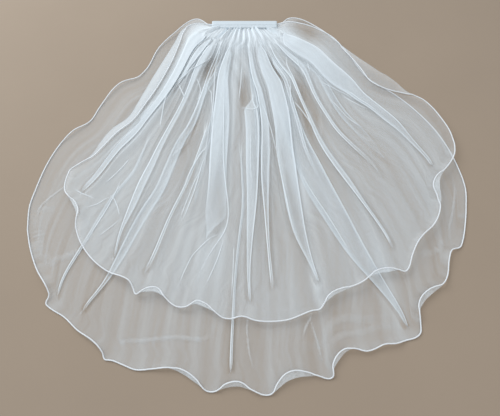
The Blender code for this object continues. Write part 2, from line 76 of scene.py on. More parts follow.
MM = 0.001

# Camera, as it stood over the table
CAMERA_PLACE = (0.0092, -0.5807, 0.5600)
CAMERA_ELEVATION = 66.0
CAMERA_LENS = 31.68

# Cut of what shows of each tier, width by length in metres
LOWER_FLAT = (0.86, 0.58)
UPPER_FLAT = (0.86, 0.49)

# The gathered edge lies further forward in the middle of the band than at its ends
GATHER_ARCH = 6.0 * MM
GATHER_ARCH_POWER = 8

# Border of a tier, between the body of the cloth and its cord
BORDER = 10.0 * MM
BORDER_AT_BAND = 3.0 * MM
BORDER_FULL_FROM = 0.15
NORMAL_SMOOTHING = 38.0 * MM
INNER_SMOOTHING = 13.0 * MM  # the body's own edge follows the cord line without its sharp corners
INNER_SETTLES = 60.0 * MM
SIDE_BLEND = 3.0
SIDE_BLEND_AT_BAND = 16.0
SIDE_BLEND_SETTLES = 0.3
CURL_FULL = 3.0 * MM        # an edge that has curled this far no longer only lifts
HEM_RISE = 0.45             # share of an edge's lift, past the least, that the cloth beside it has
HEM_LEAST = 1.0 * MM
HEM_RISES_FROM = 0.72
ROLL_RADIUS = 0.9 * MM      # largest radius of an edge that rolls back over the cloth
RUN_RINGS = 4               # rings of the border before its roll, round it and after it
ROLL_RINGS = 7
BACK_RINGS = 3
CLEAR_OF_TABLE = 0.25 * MM

# Trimmings
BAND_SEAM = 0.34            # place of the band's sewn groove from its front to its back
BAND_TOP_POINTS = 18
BAND_CORNER = 2.0 * MM
RIBBON_THICKNESS = 0.7 * MM
CORD_OUTSIDE = 0.7          # share of its radius that the cord's middle lies outside the edge
CORD_SPACING = 1.5 * MM
CORD_ABOVE_TABLE = 0.02 * MM
EDGE_THREAD = 0.16 * MM     # radii of the two sewing threads
BAND_THREAD = 0.17 * MM
STITCH_SLANT = 0.55         # share of the stitches' pitch that one leans along the cord
STITCH_REACH = 0.58         # half turns round the cord from its top to a stitch's end
STITCH_LIFT = 0.06 * MM
BAND_STITCH_PITCH = 2.6 * MM
BAND_STITCH = 1.7 * MM

# Tulle: contrast of its net, and stretch and strength of the unevenness along its length
NET_CONTRAST = 0.08
PATCHY_STRETCH = (150.0, 6.0, 1.0)
PATCHY_SHARE = 0.30

# Columns and rows of the cloth
ROWS = 130
ROW_CROWDING = 1.2          # rows lie closer to each other near the band
PLAIN_SPACING = 3.2 * MM    # between columns of unfolded cloth where it is widest
EVEN_UNTIL = 0.10           # columns stand evenly at the band and have found their place here
WIDTH_CHECKS = (0.5, 0.75, 1.0)  # fractions down at which the stretches between folds are measured
FOLD_MARGIN = 6.0 * MM
MARGIN_LEAST = 0.1 * MM
MARGIN_SHARE = 0.46         # most of the gap to the next fold that a fold's margin takes
FOLD_SMOOTHING = 0.05       # reach down the cloth over which a fold's sides are smoothed
LAP_RADIUS = 0.45 * MM      # of the rounded crease of a lapped fold
LAP_LEAST = 0.3 * MM
MIDDLE_SPACING = 4.0 * MM
LAP_SETTLES = 0.85          # share of a lap's width over which it stays at its full height
FOLD_CLOSES = 0.10          # a fold closes over this fraction of the way down
FOLD_ENDS = 0.4             # it opens again over this share of dies
FOLD_THINNED = 0.3          # it has thinned out when this share of dies is left
LAP_EXTRA = 2 / 3           # share of a lap's layers that lie on top of the plain cloth
LAP_THINS = 0.40            # how much looser a lapped fold lies near the hem than near the band
LAP_THINS_OVER = (0.25, 0.9)
HELD_DOWN = 0.8             # share of the gathers that a closed fold presses flat
LOWER_CREASE = 0.6          # sharpness of a lap's lower crease where its upper one has 1
SIDE_CALM = 0.05            # the gathers come up over this fraction from each side
CREASE_LAYERS = 4.5         # how much denser the cloth looks along a sharp crease
LEAST_LAYERS = 0.25
STREAK_SHARE = 0.32         # how much the streaks change the density
STEEPEST = 0.28             # cloth whose normal points up less than this looks no denser
BORDER_LAYERS = 1.6         # most that the border is as dense as
PINCH_LAYERS = 2.2          # times the density of the pinch tables
PINCH_SPREAD = 1.35         # times the width of the pinch tables
PINCH_SPACING = 2.5 * MM
PINCH_POINTS = 60
PINCH_SMOOTHING = 24
PINCH_TAPER = 0.3           # a pinched crease comes up and dies over this share of its length
PINCH_ABOVE = 0.15 * MM

Edge = namedtuple("Edge", "across down lift curl", defaults=(0.7, 0))
Fold = namedtuple("Fold", "left right first last dies turn")
Height = namedtuple("Height", "from_band lower upper")
Gather = namedtuple("Gather", "waves tall fades_from gone_by drift")
Patch = namedtuple("Patch", "across down wide long layers")
Pinch = namedtuple("Pinch", "wide rise layers path")
Streak = namedtuple("Streak", "waves strong drift shift")
Crowd = namedtuple("Crowd", "layers full_at gone_by")
Lamp = namedtuple("Lamp", "name place size power colour")
Tier = namedtuple("Tier", "left hem right folds pinches patches seed flat")


def named_rows(kind, *rows):
    """Named rows from plain ones."""
    return tuple(kind(*row) for row in rows)


# Cord line of each edge in mm: across from the band's middle, down towards the hem, lift of the
# edge above its cloth, and curl, how far the edge has rolled back over the cloth. Where a row
# leaves them out, the lift is 0.7 and the curl 0.
LOWER_LEFT = named_rows(
    Edge,
    (-51, -2.4), (-58, -4.5), (-79, -19), (-119, 13), (-139, 38), (-159, 89), (-168, 102, 1.5),
    (-193, 114, 3), (-223, 162), (-234, 188), (-256, 206, 3), (-272, 228), (-283, 255),
    (-294, 305), (-297, 327), (-293, 364),
)
LOWER_HEM = named_rows(
    Edge,
    (-293, 364), (-284, 390), (-268, 421, 2), (-249, 446, 4), (-246, 453, 2), (-249, 465),
    (-244, 469), (-223, 481), (-202, 498, 2.5, 1), (-182, 510, 4, 2), (-173, 518, 3, 1),
    (-168, 526), (-167, 531), (-158, 532), (-144, 537), (-127, 543), (-108, 542, 1.5),
    (-83, 541, 4, 2), (-67, 546, 5, 4), (-53, 556, 4, 3), (-40, 567), (-32, 567), (-20, 560, 4, 4),
    (-6, 557, 6, 5), (13, 566, 3, 1), (28, 571), (34, 570), (42, 559, 5, 5), (51, 549, 8, 8),
    (62, 545, 8, 8), (78, 547, 6, 4), (91, 550, 2, 1), (103, 553), (107, 552), (108, 540, 4, 3),
    (114, 528, 6, 5), (125, 520, 6, 3), (136, 519, 4), (150, 522, 2.9), (161, 519, 2),
    (172, 514, 3.5), (187, 513, 3), (200, 509), (214, 505), (219, 501), (221, 490),
    (221, 472, 4, 2), (227, 457, 6, 6), (239, 447, 7, 6), (257, 439, 3.9, 1), (264, 430, 2),
    (271, 405, 3), (276, 394, 3), (291, 388), (294, 382), (304, 352), (308, 337),
)
LOWER_RIGHT = named_rows(
    Edge,
    (51, -2.4), (58, -4.5), (74, -20), (129, 3), (157, 33), (204, 112), (231, 133), (273, 180),
    (286, 203, 2.5), (310, 268), (314, 301), (308, 337),
)
UPPER_LEFT = named_rows(
    Edge,
    (-51, -2.4), (-91, 3, 1), (-98, 12, 2, 3), (-107, 44, 4, 8), (-117, 79, 6, 13),
    (-132, 119, 6, 15), (-150, 157, 6, 12), (-169, 192, 5, 9), (-188, 211, 5, 10),
    (-204, 233, 5, 8), (-216, 250, 4, 4), (-248, 276, 1),
)
UPPER_HEM = named_rows(
    Edge,
    (-248, 276, 1), (-250, 300, 2), (-247, 311, 3), (-239, 320, 4, 2), (-231, 328, 5, 4),
    (-225, 341, 5, 3), (-225, 352, 3, 1), (-225, 360, 2), (-221, 373, 1), (-210, 392, 1),
    (-189, 414, 1.5), (-170, 426, 1.5), (-155, 431, 3), (-144, 437, 3.2), (-139, 446, 1),
    (-135, 454), (-128, 450, 3, 2), (-121, 447, 6, 5), (-108, 447, 6, 5), (-101, 454, 4, 2),
    (-92, 463, 1), (-85, 468), (-78, 470), (-70, 469, 1), (-57, 463, 4, 4), (-46, 467, 4, 4),
    (-34, 476, 2, 1), (-24, 483), (-14, 484), (-2, 481, 1.9), (16, 486), (42, 487), (57, 485),
    (73, 479), (86, 474), (97, 472), (100, 468, 0.8), (106, 459, 4, 3), (114, 452, 6, 4),
    (127, 447, 5, 3), (144, 442, 3, 1), (154, 437, 3), (163, 430, 4, 2), (173, 424, 5, 4),
    (186, 421, 6, 5), (201, 422, 2, 1), (210, 424), (214, 420), (220, 404, 3), (230, 385, 4.5),
    (242, 372, 3), (255, 361, 2), (265, 346, 2), (269, 333, 3, 1), (269, 318, 5, 5),
    (266, 301, 6, 9), (272, 288, 4, 6), (287, 274, 2, 1), (298, 261, 2), (307, 245, 1),
    (309, 231, 1),
)
UPPER_RIGHT = named_rows(
    Edge,
    (51, -2.4), (73, -6), (100, 1), (121, 10), (142, 24), (159, 48, 1.5, 3), (176, 73, 4, 9),
    (188, 94, 6, 17), (199, 116, 6, 25), (212, 126, 6, 25), (231, 135, 6, 18), (249, 140, 3, 6),
    (264, 145, 1), (276, 152), (285, 163), (298, 187), (306, 208), (309, 231, 1),
)

# Lapped folds from left to right, where the cloth lies in three layers. left and right are the
# places s of the fold's two sides, evenly spaced in t from 0 to 1. It is closed between the values
# first and last of t. Over the fraction dies before last it thins out to the density of plain cloth
# and then opens. turn says which side is its upper crease: -1 the left one, 1 the right one.
LOWER_FOLDS = named_rows(
    Fold,
    ((.105, .105, .105, .1, .095, .09), (.13, .13, .125, .12, .11, .1), .05, .72, .4, -1),
    ((.16, .165, .172, .176, .163, .131), (.17, .172, .178, .181, .168, .135), .45, 1, .04, -1),
    ((.27, .269, .268, .266, .262, .253, .245, .237, .227, .216, .18),
     (.3, .298, .295, .29, .286, .28, .271, .26, .242, .219, .184), .05, .99, .05, -1),
    ((.34, .34, .335, .335, .335, .335), (.37, .365, .36, .355, .35, .345), .05, .7, .4, 1),
    ((.453, .458, .463, .466, .452, .446), (.459, .464, .469, .471, .456, .45), .4, 1, .03, -1),
    ((.52, .52, .52, .52, .52, .52), (.548, .548, .542, .537, .532, .53), .05, .7, .4, 1),
    ((.64, .64, .64, .64, .64, .641, .643, .665, .688, .723, .762),
     (.7, .7, .7, .7, .7, .702, .704, .713, .722, .738, .764), .25, 1, .03, 1),
    ((.86, .855, .85, .85, .85, .85), (.885, .88, .875, .87, .865, .86), .05, .72, .4, 1),
)
UPPER_FOLDS = named_rows(
    Fold,
    ((.03, .006, .002, .004, .028, .056), (.09, .075, .062, .043, .048, .061), .02, .99, .06, 1),
    ((.105, .095, .07, .062, .062, .068), (.132, .138, .076, .066, .066, .072), .03, .45, .15, 1),
    ((.14, .143, .145, .151, .156, .15, .147, .154, .172, .183, .212),
     (.19, .188, .185, .18, .175, .168, .167, .177, .19, .186, .215), .04, .99, .05, -1),
    ((.225, .24, .228, .205, .203, .216), (.255, .262, .25, .24, .226, .228), .04, .66, .34, -1),
    ((.28, .272, .305, .292, .271, .267), (.286, .28, .311, .299, .279, .275), .42, .99, .1, -1),
    ((.33, .3, .318, .347, .363, .375), (.37, .36, .392, .397, .412, .4), .04, .9, .42, -1),
    ((.425, .425, .428, .446, .46, .459, .458, .456, .456, .457, .465),
     (.47, .474, .49, .512, .514, .504, .491, .478, .468, .462, .468), .27, .99, .05, 1),
    ((.505, .508, .512, .521, .524, .51, .498, .496, .496, .498, .503),
     (.54, .541, .542, .549, .554, .54, .519, .507, .501, .503, .508), .04, .95, .06, -1),
    ((.59, .588, .585, .58, .575, .565, .556, .549, .552, .575, .591),
     (.665, .663, .658, .652, .643, .625, .608, .59, .579, .581, .593), .04, .98, .06, 1),
    ((.675, .672, .656, .645, .648, .652), (.69, .69, .668, .652, .654, .658), .1, .78, .4, 1),
    ((.715, .71, .705, .7, .697, .696, .695, .696, .703, .721, .727),
     (.735, .728, .72, .713, .708, .709, .711, .711, .71, .728, .731), .06, .97, .06, -1),
    ((.8, .795, .765, .785, .786, .79), (.825, .825, .78, .795, .795, .8), .05, .84, .35, -1),
    ((.85, .848, .845, .848, .866, .92, .934, .912, .909, .919, .93),
     (.95, .943, .938, .936, .95, .966, .957, .934, .919, .924, .934), .03, .99, .04, 1),
)

# Small gathers: how many waves across, how tall in mm, between which distances from the band in mm
# they die away, and how far they drift sideways on the way down.
GATHERS = (
    Gather(33, 1.0, 8, 55, 0.3),
    Gather(21, 2.4, 30, 135, 0.5),
    Gather(17, 2.6, 40, 260, -0.4),
    Gather(12, 2.4, 120, 420, 0.3),
    Gather(7, 1.8, 200, 600, -0.2),
)

WANDER = 1.1                # how far in radians a gather strays from its place
WANDER_WAVES = 3.3
UNEVEN = 0.35               # how much the gathers differ in height
UNEVEN_WAVES = 2.7

# Streaks of denser cloth that fan out from the band
STREAKS = (Streak(9, 0.50, 1.0, 0), Streak(21, 0.35, -0.7, 1), Streak(37, 0.30, 1.6, 2))

# Layers that the gathers add: all of them up to the first distance from the band in mm, and none
# past the second
CROWDS = (Crowd(2.4, 0, 60), Crowd(0.55, 40, 220))

# Places where more or fewer layers of the gathers lie on each other: middle and reach as fractions
# across and down, and how many layers are added. In the upper tier the two narrow rows that take away
# 3 layers are painted shade: they thin the cloth into dark slits that stand for thin shadows.
UPPER_PATCHES = named_rows(
    Patch,
    (0, 0.4, 0.07, 0.32, 3.6), (0.09, 0.2, 0.08, 0.1, 1.2), (0.17, 0.14, 0.05, 0.06, 0.6),
    (0.235, 0.21, 0.038, 0.065, -2.2), (0.1, 0.47, 0.045, 0.09, -0.7),
    (0.085, 0.63, 0.035, 0.1, -0.5), (0.265, 0.57, 0.03, 0.12, -0.5),
    # painted shade: the row at 0.356 across and 0.17 down thins the cloth to a dark slit for a thin
    # shadow
    (0.355, 0.42, 0.04, 0.26, 1.2), (0.356, 0.17, 0.01, 0.05, -3), (0.24, 0.46, 0.02, 0.08, -0.7),
    (0.15, 0.74, 0.15, 0.28, 0.35), (0.375, 0.86, 0.045, 0.12, 0.95),
    (0.462, 0.285, 0.026, 0.06, -2.6), (0.45, 0.62, 0.035, 0.3, 0.4),
    (0.485, 0.76, 0.014, 0.2, -0.4), (0.525, 0.76, 0.02, 0.2, -0.5), (0.6, 0.33, 0.04, 0.16, 0.8),
    # painted shade: the row at 0.666 across and 0.23 down thins the cloth to a dark slit for a thin
    # shadow
    (0.606, 0.68, 0.016, 0.1, 0.7), (0.666, 0.23, 0.009, 0.06, -3),
    (0.687, 0.44, 0.012, 0.1, -0.8), (0.69, 0.23, 0.028, 0.07, 1), (0.682, 0.62, 0.018, 0.2, -0.5),
    (0.738, 0.35, 0.026, 0.12, -1.8), (0.825, 0.5, 0.03, 0.12, -0.5),
    (0.885, 0.22, 0.06, 0.17, 1.2), (0.975, 0.35, 0.028, 0.4, -0.5),
    (0.99, 0.06, 0.05, 0.14, -2.4), (0.58, 0.95, 0.01, 0.05, 1.3),
)
LOWER_PATCHES = named_rows(
    Patch,
    (0.99, 0.06, 0.05, 0.14, -1.8), (0.02, 0.15, 0.06, 0.2, -0.8), (0.5, 0, 0.5, 0.12, 0.5),
    (0.149, 0.31, 0.04, 0.1, -0.6), (0.237, 0.17, 0.04, 0.07, -1.1),
    (0.279, 0.38, 0.025, 0.12, -0.5), (0.356, 0.14, 0.015, 0.05, -1.1),
    (0.465, 0.27, 0.018, 0.06, -0.8), (0.706, 0.18, 0.012, 0.05, -1.1),
    (0.718, 0.38, 0.018, 0.1, -0.6), (0.751, 0.31, 0.03, 0.12, -0.8),
    (0.735, 0.9, 0.02, 0.12, 0.8),
)

# Sharp pinched creases: width and rise in mm, how many layers it looks like, and its path as
# places s, t.
LOWER_PINCHES = named_rows(
    Pinch,
    (3, 0.9, 0.5, ((.06, .77), (.049, .81), (.031, .86), (.015, .91), (.004, .96))),
    (7, 0.9, 0.18, ((.009, .94), (.033, .89), (.055, .86))),
    (8, 1, 0.22, ((.079, .99), (.103, .94), (.142, .88), (.16, .86))),
    (12, 1.2, 0.2, ((.001, .93), (.012, .97), (.04, .985), (.085, .985))),
    (5, 1, 0.33, ((.262, 1), (.271, .975), (.308, .96), (.349, .957), (.382, .948), (.41, .92),
        (.417, .89))),
    (3, 0.9, 0.45, ((.59, .88), (.588, .9), (.578, .92), (.57, .95))),
    (3, 0.9, 0.45, ((.588, .9), (.591, .93), (.596, .955), (.599, .99))),
    (9, 1, 0.2, ((.571, .965), (.6, .955), (.636, .95), (.674, .95), (.724, .965))),
    (7, 0.9, 0.2, ((.6, .985), (.655, .985), (.7, .977), (.745, .985))),
    (2.5, 0.9, 0.4, ((.478, .86), (.474, .9), (.477, .95), (.484, .98))),
    (3.5, 0.9, 0.42, ((.99, .87), (.985, .91), (.95, .93), (.933, .955), (.93, .99))),
    (8, 0.9, 0.2, ((.833, .92), (.863, .935), (.9, .97), (.935, .995))),
)
UPPER_PINCHES = named_rows(
    Pinch,
    (2.2, 1.2, 1.8, ((.06, .4), (.075, .36), (.1, .33), (.13, .28), (.16, .24), (.19, .2),
        (.212, .165))),
    (2, 1.2, 2, ((.08, .385), (.12, .375), (.15, .38), (.166, .39))),
    (2, 1, 1.6, ((.05, .44), (.062, .49), (.08, .53), (.105, .55), (.135, .55))),
    (1.8, 1, 1.3, ((.17, .285), (.205, .3), (.228, .33), (.228, .38))),
    (2, 1.2, 1.7, ((.25, .14), (.272, .19), (.292, .27), (.305, .34), (.318, .42), (.33, .5))),
    (1.8, 1, 1.4, ((.255, .3), (.29, .32), (.305, .38))),
    (2, 1.2, 2, ((.333, .5), (.305, .56), (.29, .62), (.282, .68))),
    (1.8, 1.1, 1.8, ((.333, .52), (.318, .58), (.316, .68), (.312, .78), (.304, .825))),
    (1.8, 1, 1.5, ((.326, .58), (.308, .66), (.305, .74), (.303, .82))),
    (2, 1.2, 1.6, ((.345, .2), (.355, .3), (.37, .42), (.381, .52), (.39, .6), (.4, .66),
        (.42, .74), (.421, .76), (.405, .81), (.385, .86), (.372, .92), (.366, .98))),
    (1.8, 1, 1.4, ((.405, .8), (.37, .84), (.35, .87), (.342, .93), (.34, .99))),
    (1.8, 1, 1.3, ((.408, .81), (.4, .88), (.385, .98))),
    (2, 1, 1.2, ((.435, .36), (.45, .355), (.48, .36), (.515, .355), (.53, .33))),
    (1.8, 1, 1.3, ((.43, .34), (.436, .29), (.447, .24), (.455, .16))),
    (1.8, 1, 1.2, ((.525, .3), (.545, .37), (.556, .45), (.56, .55))),
    (1.8, 0.9, 1, ((.552, .45), (.53, .55), (.512, .65), (.503, .72))),
    (1.8, 0.9, 0.9, ((.48, .4), (.473, .55), (.47, .66))),
    (1.8, 0.9, 1.2, ((.43, .8), (.432, .88), (.434, .98))),
    (1.8, 1, 1.6, ((.655, .36), (.635, .42), (.622, .5), (.607, .6), (.588, .69))),
    (1.8, 1, 1.2, ((.622, .58), (.613, .65), (.622, .73), (.64, .85), (.655, .97))),
    (1.8, 1.2, 1.7, ((.6, .4), (.57, .45), (.561, .52), (.556, .62), (.552, .75), (.56, .84))),
    (2, 1.2, 1.9, ((.8, .165), (.785, .19), (.75, .205), (.728, .235), (.712, .29), (.706, .36),
        (.702, .41))),
    (1.8, 1.1, 1.7, ((.69, .3), (.672, .34), (.655, .39))),
    (1.8, 1, 1.5, ((.665, .36), (.68, .4), (.694, .46), (.702, .53))),
    (1.8, 1, 1.4, ((.835, .2), (.805, .23), (.785, .26), (.772, .31))),
    (1.8, 1, 1.2, ((.845, .25), (.82, .28), (.808, .31))),
    (1.8, 1, 1.2, ((.815, .34), (.835, .38), (.87, .44), (.905, .49), (.925, .56))),
    (1.8, 0.9, 1, ((.812, .42), (.828, .48), (.842, .54), (.858, .62))),
    (1.8, 0.9, 1.1, ((.885, .47), (.9, .51), (.915, .56), (.922, .62))),
    (1.8, 1, 1.3, ((.905, .47), (.928, .52), (.935, .59), (.926, .66))),
    (1.8, 1.1, 1.7, ((.085, .73), (.086, .79), (.08, .85), (.074, .9))),
    (1.8, 1.1, 1.6, ((.11, .79), (.122, .84), (.128, .88), (.135, .94), (.142, 1))),
    (1.8, 1, 1.5, ((.105, .87), (.13, .85), (.15, .853), (.172, .87))),
    (1.8, 1, 1.2, ((.036, 1), (.063, .98), (.092, .94))),
    (1.8, 1, 1.2, ((.085, 1), (.1, .94), (.108, .89), (.118, .86))),
    (1.8, 0.9, 1, ((.172, .87), (.163, .92), (.155, .97))),
)

# Section of a pinched crease: place across from -1 to 1, height and density from 0 to 1
PINCH_SECTION = ((-1.0, 0.0, 0.0), (-0.35, 0.7, 0.8), (0.0, 1.0, 1.0), (0.35, 0.7, 0.8),
                 (1.0, 0.0, 0.0))

# Heights of the cloth in mm against the distance from the band
HEIGHTS = (
    Height(0, 3.9, 8.0),
    Height(20, 4.0, 10.6),
    Height(45, 4.0, 12.0),
    Height(80, 1.2, 9.6),
    Height(150, 0.5, 7.2),
    Height(300, 0.5, 7.0),
    Height(480, 0.5, 7.0),
)
TIER_GAP = 0.3 * MM         # the lower tier's gathers stay this far under the upper tier
OVERHANG_START = 8.0 * MM
OVERHANG_END = 34.0 * MM
OVERHANG_HEIGHT = 1.2 * MM

TIERS = {
    "lower": Tier(LOWER_LEFT, LOWER_HEM, LOWER_RIGHT, LOWER_FOLDS, LOWER_PINCHES, LOWER_PATCHES,
                  0.4, LOWER_FLAT),
    "upper": Tier(UPPER_LEFT, UPPER_HEM, UPPER_RIGHT, UPPER_FOLDS, UPPER_PINCHES, UPPER_PATCHES,
                  2.1, UPPER_FLAT),
}

# Soft studio light: two square lamps over the table and an even room
LAMPS = (
    Lamp("window_light", (-1.15, 0.7, 1.25), 1.3, 31.0, (0.95, 0.98, 1.0)),
    Lamp("room_fill", (1.2, -1.1, 1.4), 1.6, 10.0, (1.0, 0.95, 0.90)),
)
LAMPS_AIM = (0.0, -0.25, 0.0)
ROOM_COLOUR = (0.92, 0.96, 1.0, 1.0)
ROOM_STRENGTH = 0.55
TABLE_REACH = 3.0           # from the table's middle to its sides


class VeilSizes(bpy.types.PropertyGroup):
    """Sizes of the veil's trimmings that a user may change."""

    cord_radius: bpy.props.FloatProperty(
        name="Cord radius", description="Radius of the satin cord round each tier",
        default=0.85 * MM, min=0.5 * MM, max=3 * MM, unit="LENGTH",
    )
    band_length: bpy.props.FloatProperty(
        name="Band length", description="Length of the satin band over the gathers",
        default=108 * MM, min=60 * MM, max=160 * MM, unit="LENGTH",
    )
    band_depth: bpy.props.FloatProperty(
        name="Band depth", description="Depth of the satin band from front to back",
        default=15 * MM, min=8 * MM, max=30 * MM, unit="LENGTH",
    )
    net_pitch: bpy.props.FloatProperty(
        name="Net pitch", description="Distance between the holes of the tulle",
        default=0.8 * MM, min=0.4 * MM, max=4 * MM, unit="LENGTH",
    )
    stitch_pitch: bpy.props.FloatProperty(
        name="Stitch pitch", description="Distance between the stitches over the cord",
        default=3.2 * MM, min=1.5 * MM, max=8 * MM, unit="LENGTH",
    )
    one_layer: bpy.props.FloatProperty(
        name="One layer", description="Share of the light that one layer of tulle stops",
        default=0.26, min=0.05, max=0.9, subtype="FACTOR",
    )


class VeilColours(bpy.types.PropertyGroup):
    """Colours of the veil's cloths and of the table."""

    tulle: bpy.props.FloatVectorProperty(
        name="Tulle", description="Colour of the tulle's threads",
        default=(0.82, 0.885, 0.93), size=3, min=0, max=1, subtype="COLOR",
    )
    satin: bpy.props.FloatVectorProperty(
        name="Satin", description="Colour of the cords",
        default=(0.78, 0.82, 0.86), size=3, min=0, max=1, subtype="COLOR",
    )
    band: bpy.props.FloatVectorProperty(
        name="Band", description="Colour of the ribbon over the gathers",
        default=(0.60, 0.67, 0.72), size=3, min=0, max=1, subtype="COLOR",
    )
    comb: bpy.props.FloatVectorProperty(
        name="Comb", description="Colour of the comb's milky plastic",
        default=(0.80, 0.82, 0.82), size=3, min=0, max=1, subtype="COLOR",
    )
    table: bpy.props.FloatVectorProperty(
        name="Table", description="Colour of the plain surface under the veil",
        default=(0.33, 0.264, 0.203), size=3, min=0, max=1, subtype="COLOR",
    )


def ease(value, start, end):
    """Smooth step from 0 at start to 1 at end."""
    x = np.clip((value - start) / (end - start), 0.0, 1.0)
    return x * x * (3.0 - 2.0 * x)


def run_along(path):
    """Length run along a path up to each of its points."""
    return np.r_[0.0, np.cumsum(np.hypot.reduce(np.diff(path, axis=0), axis=1))]


def read_along(path, run, at):
    """Points of a path at the given lengths run along it."""
    return np.column_stack([np.interp(at, run, column) for column in path.T])


def unit(vectors):
    """Rows of vectors brought to length 1."""
    return vectors / np.maximum(np.hypot.reduce(vectors, axis=-1, keepdims=True), 1e-9)


def smoothed(values, times):
    """A row of values or points with its small kinks taken out."""
    values = values.copy()
    for _ in range(times):
        values[1:-1] = 0.5 * values[1:-1] + 0.25 * (values[:-2] + values[2:])
    return values


def near_weights(places, reach):
    """Weights of a soft average over the places that lie near each place."""
    weight = np.exp(-((places[:, None] - places[None, :]) / reach) ** 2)
    return weight / weight.sum(axis=1, keepdims=True)


def grid_faces(index):
    """Faces between the rows of a grid of point numbers."""
    faces = []
    for a, b in zip(index, index[1:]):
        faces.extend(zip(a[:-1], b[:-1], b[1:], a[1:]))
    return faces


def join(points, faces, more_points, more_faces):
    """Add the points and faces of one mesh to the lists of another."""
    first = len(points)
    points.extend(more_points)
    faces.extend(tuple(i + first for i in face) for face in more_faces)


# Outline of a tier


def edge_line(rows, count):
    """Evenly spaced points on a smooth line through the rows of an edge table."""
    p = np.array(rows, float) * MM
    p[:, 1] *= -1.0
    step = np.hypot(*np.diff(p[:, :2], axis=0).T)
    slope = np.diff(p, axis=0) / step[:, None]
    tangent = np.empty_like(p)
    tangent[0] = slope[0]
    tangent[-1] = slope[-1]
    for i in range(1, len(p) - 1):
        tangent[i] = (slope[i - 1] * step[i] + slope[i] * step[i - 1]) / (step[i] + step[i - 1])
    fine = []
    for i, length in enumerate(step):
        for f in np.linspace(0.0, 1.0, 16, endpoint=False):
            a = 2 * f ** 3 - 3 * f ** 2 + 1
            b = (f ** 3 - 2 * f ** 2 + f) * length
            c = 3 * f ** 2 - 2 * f ** 3
            d = (f ** 3 - f ** 2) * length
            fine.append(a * p[i] + b * tangent[i] + c * p[i + 1] + d * tangent[i + 1])
    fine.append(p[-1])
    fine = np.array(fine)
    run = run_along(fine[:, :2])
    line = read_along(fine, run, np.linspace(0.0, run[-1], count))
    line[:, 2:] = np.maximum(line[:, 2:], 0.0)
    return line


class Outline:
    """The edge of a tier: down the left side, along the hem and up the right side."""

    SIDE_POINTS = 241
    HEM_POINTS = 961

    def __init__(self, left, hem, right):
        left = edge_line(left, self.SIDE_POINTS)
        hem = edge_line(hem, self.HEM_POINTS)
        right = edge_line(right, self.SIDE_POINTS)
        line = np.vstack([left, hem[1:], right[-2::-1]])
        self.line = line
        xy = line[:, :2]
        run = run_along(xy)
        direction = unit(near_weights(run, NORMAL_SMOOTHING) @ np.gradient(xy, run, axis=0))
        outward = np.column_stack([direction[:, 1], -direction[:, 0]])
        n = self.SIDE_POINTS
        side = np.linspace(0.0, 1.0, n)
        along = np.r_[side, np.ones(self.HEM_POINTS - 2), side[::-1]]
        grow = ease(along, 0.0, BORDER_FULL_FROM)
        width = BORDER_AT_BAND + (BORDER - BORDER_AT_BAND) * grow
        from_end = np.minimum(run, run[-1] - run)
        settled = ease(from_end, 0.0, INNER_SETTLES)[:, None]
        calm = (near_weights(run, INNER_SMOOTHING) @ xy - xy) * settled
        self.inner = xy + calm - width[:, None] * outward
        span = xy - self.inner
        self.width = np.hypot(*span.T)
        self.out = span / self.width[:, None]
        hem_fractions = np.linspace(0.0, 1.0, self.HEM_POINTS)
        self.parts = {
            "left": (slice(0, n), side),
            "hem": (slice(n - 1, n - 1 + self.HEM_POINTS), hem_fractions),
            "right": (slice(len(line) - 1, len(line) - n - 1, -1), side),
        }

    def read(self, part, at, values):
        """Values of the outline at fractions along one of its parts."""
        where, stations = self.parts[part]
        return read_along(values[where], stations, np.atleast_1d(at))

    def point(self, s, t):
        """Place on the table of the cloth at s across and t down, inside the border."""
        s = np.clip(np.atleast_1d(np.asarray(s, float)), 0.0, 1.0)
        side = self.read("left", [t, 0.0, 1.0], self.inner)
        other = self.read("right", [t, 0.0, 1.0], self.inner)
        hem = self.read("hem", s, self.inner)
        top = side[1] + (other[1] - side[1]) * s[:, None]
        top[:, 1] -= GATHER_ARCH * (1 - np.abs(2 * s - 1) ** GATHER_ARCH_POWER)
        flat = (1 - t) * top + t * hem
        bow_left = side[0] - ((1 - t) * side[1] + t * side[2])
        bow_right = other[0] - ((1 - t) * other[1] + t * other[2])
        settled = ease(t, 0.0, SIDE_BLEND_SETTLES)
        power = SIDE_BLEND_AT_BAND + (SIDE_BLEND - SIDE_BLEND_AT_BAND) * settled
        near_left = (1 - s)[:, None] ** power
        near_right = s[:, None] ** power
        return flat + near_left * bow_left + near_right * bow_right

    def scale(self, s, t):
        """Length on the table of one unit across at s and t."""
        step = 0.01
        low, high = max(s - step, 0.0), min(s + step, 1.0)
        pair = self.point([low, high], t)
        return float(np.hypot(*(pair[1] - pair[0])) / (high - low))


def from_band(xy):
    """Distance from the band's footprint."""
    sizes = bpy.context.scene.veil_sizes
    dx = np.maximum(np.abs(xy[..., 0]) - sizes.band_length / 2, 0.0)
    dy = np.maximum(-sizes.band_depth / 2 - xy[..., 1], 0.0)
    return np.hypot(dx, dy)


def height(column, xy):
    """One column of the HEIGHTS table at places on the table."""
    knots = [row.from_band * MM for row in HEIGHTS]
    values = [getattr(row, column) * MM for row in HEIGHTS]
    return np.interp(from_band(xy), knots, values)


def distance_outside(xy, outline):
    """How far places lie outside an outline, 0 inside it."""
    a = outline.line[::3, :2]
    b = np.roll(a, -1, axis=0)
    result = np.zeros(len(xy))
    for i, p in enumerate(xy):
        crosses = (a[:, 1] > p[1]) != (b[:, 1] > p[1])
        rise = np.where(crosses, b[:, 1] - a[:, 1], 1.0)
        at_x = a[:, 0] + (p[1] - a[:, 1]) * (b[:, 0] - a[:, 0]) / rise
        inside = np.count_nonzero(crosses & (p[0] < at_x)) % 2 == 1
        if not inside:
            result[i] = np.hypot(*(a - p).T).min()
    return result


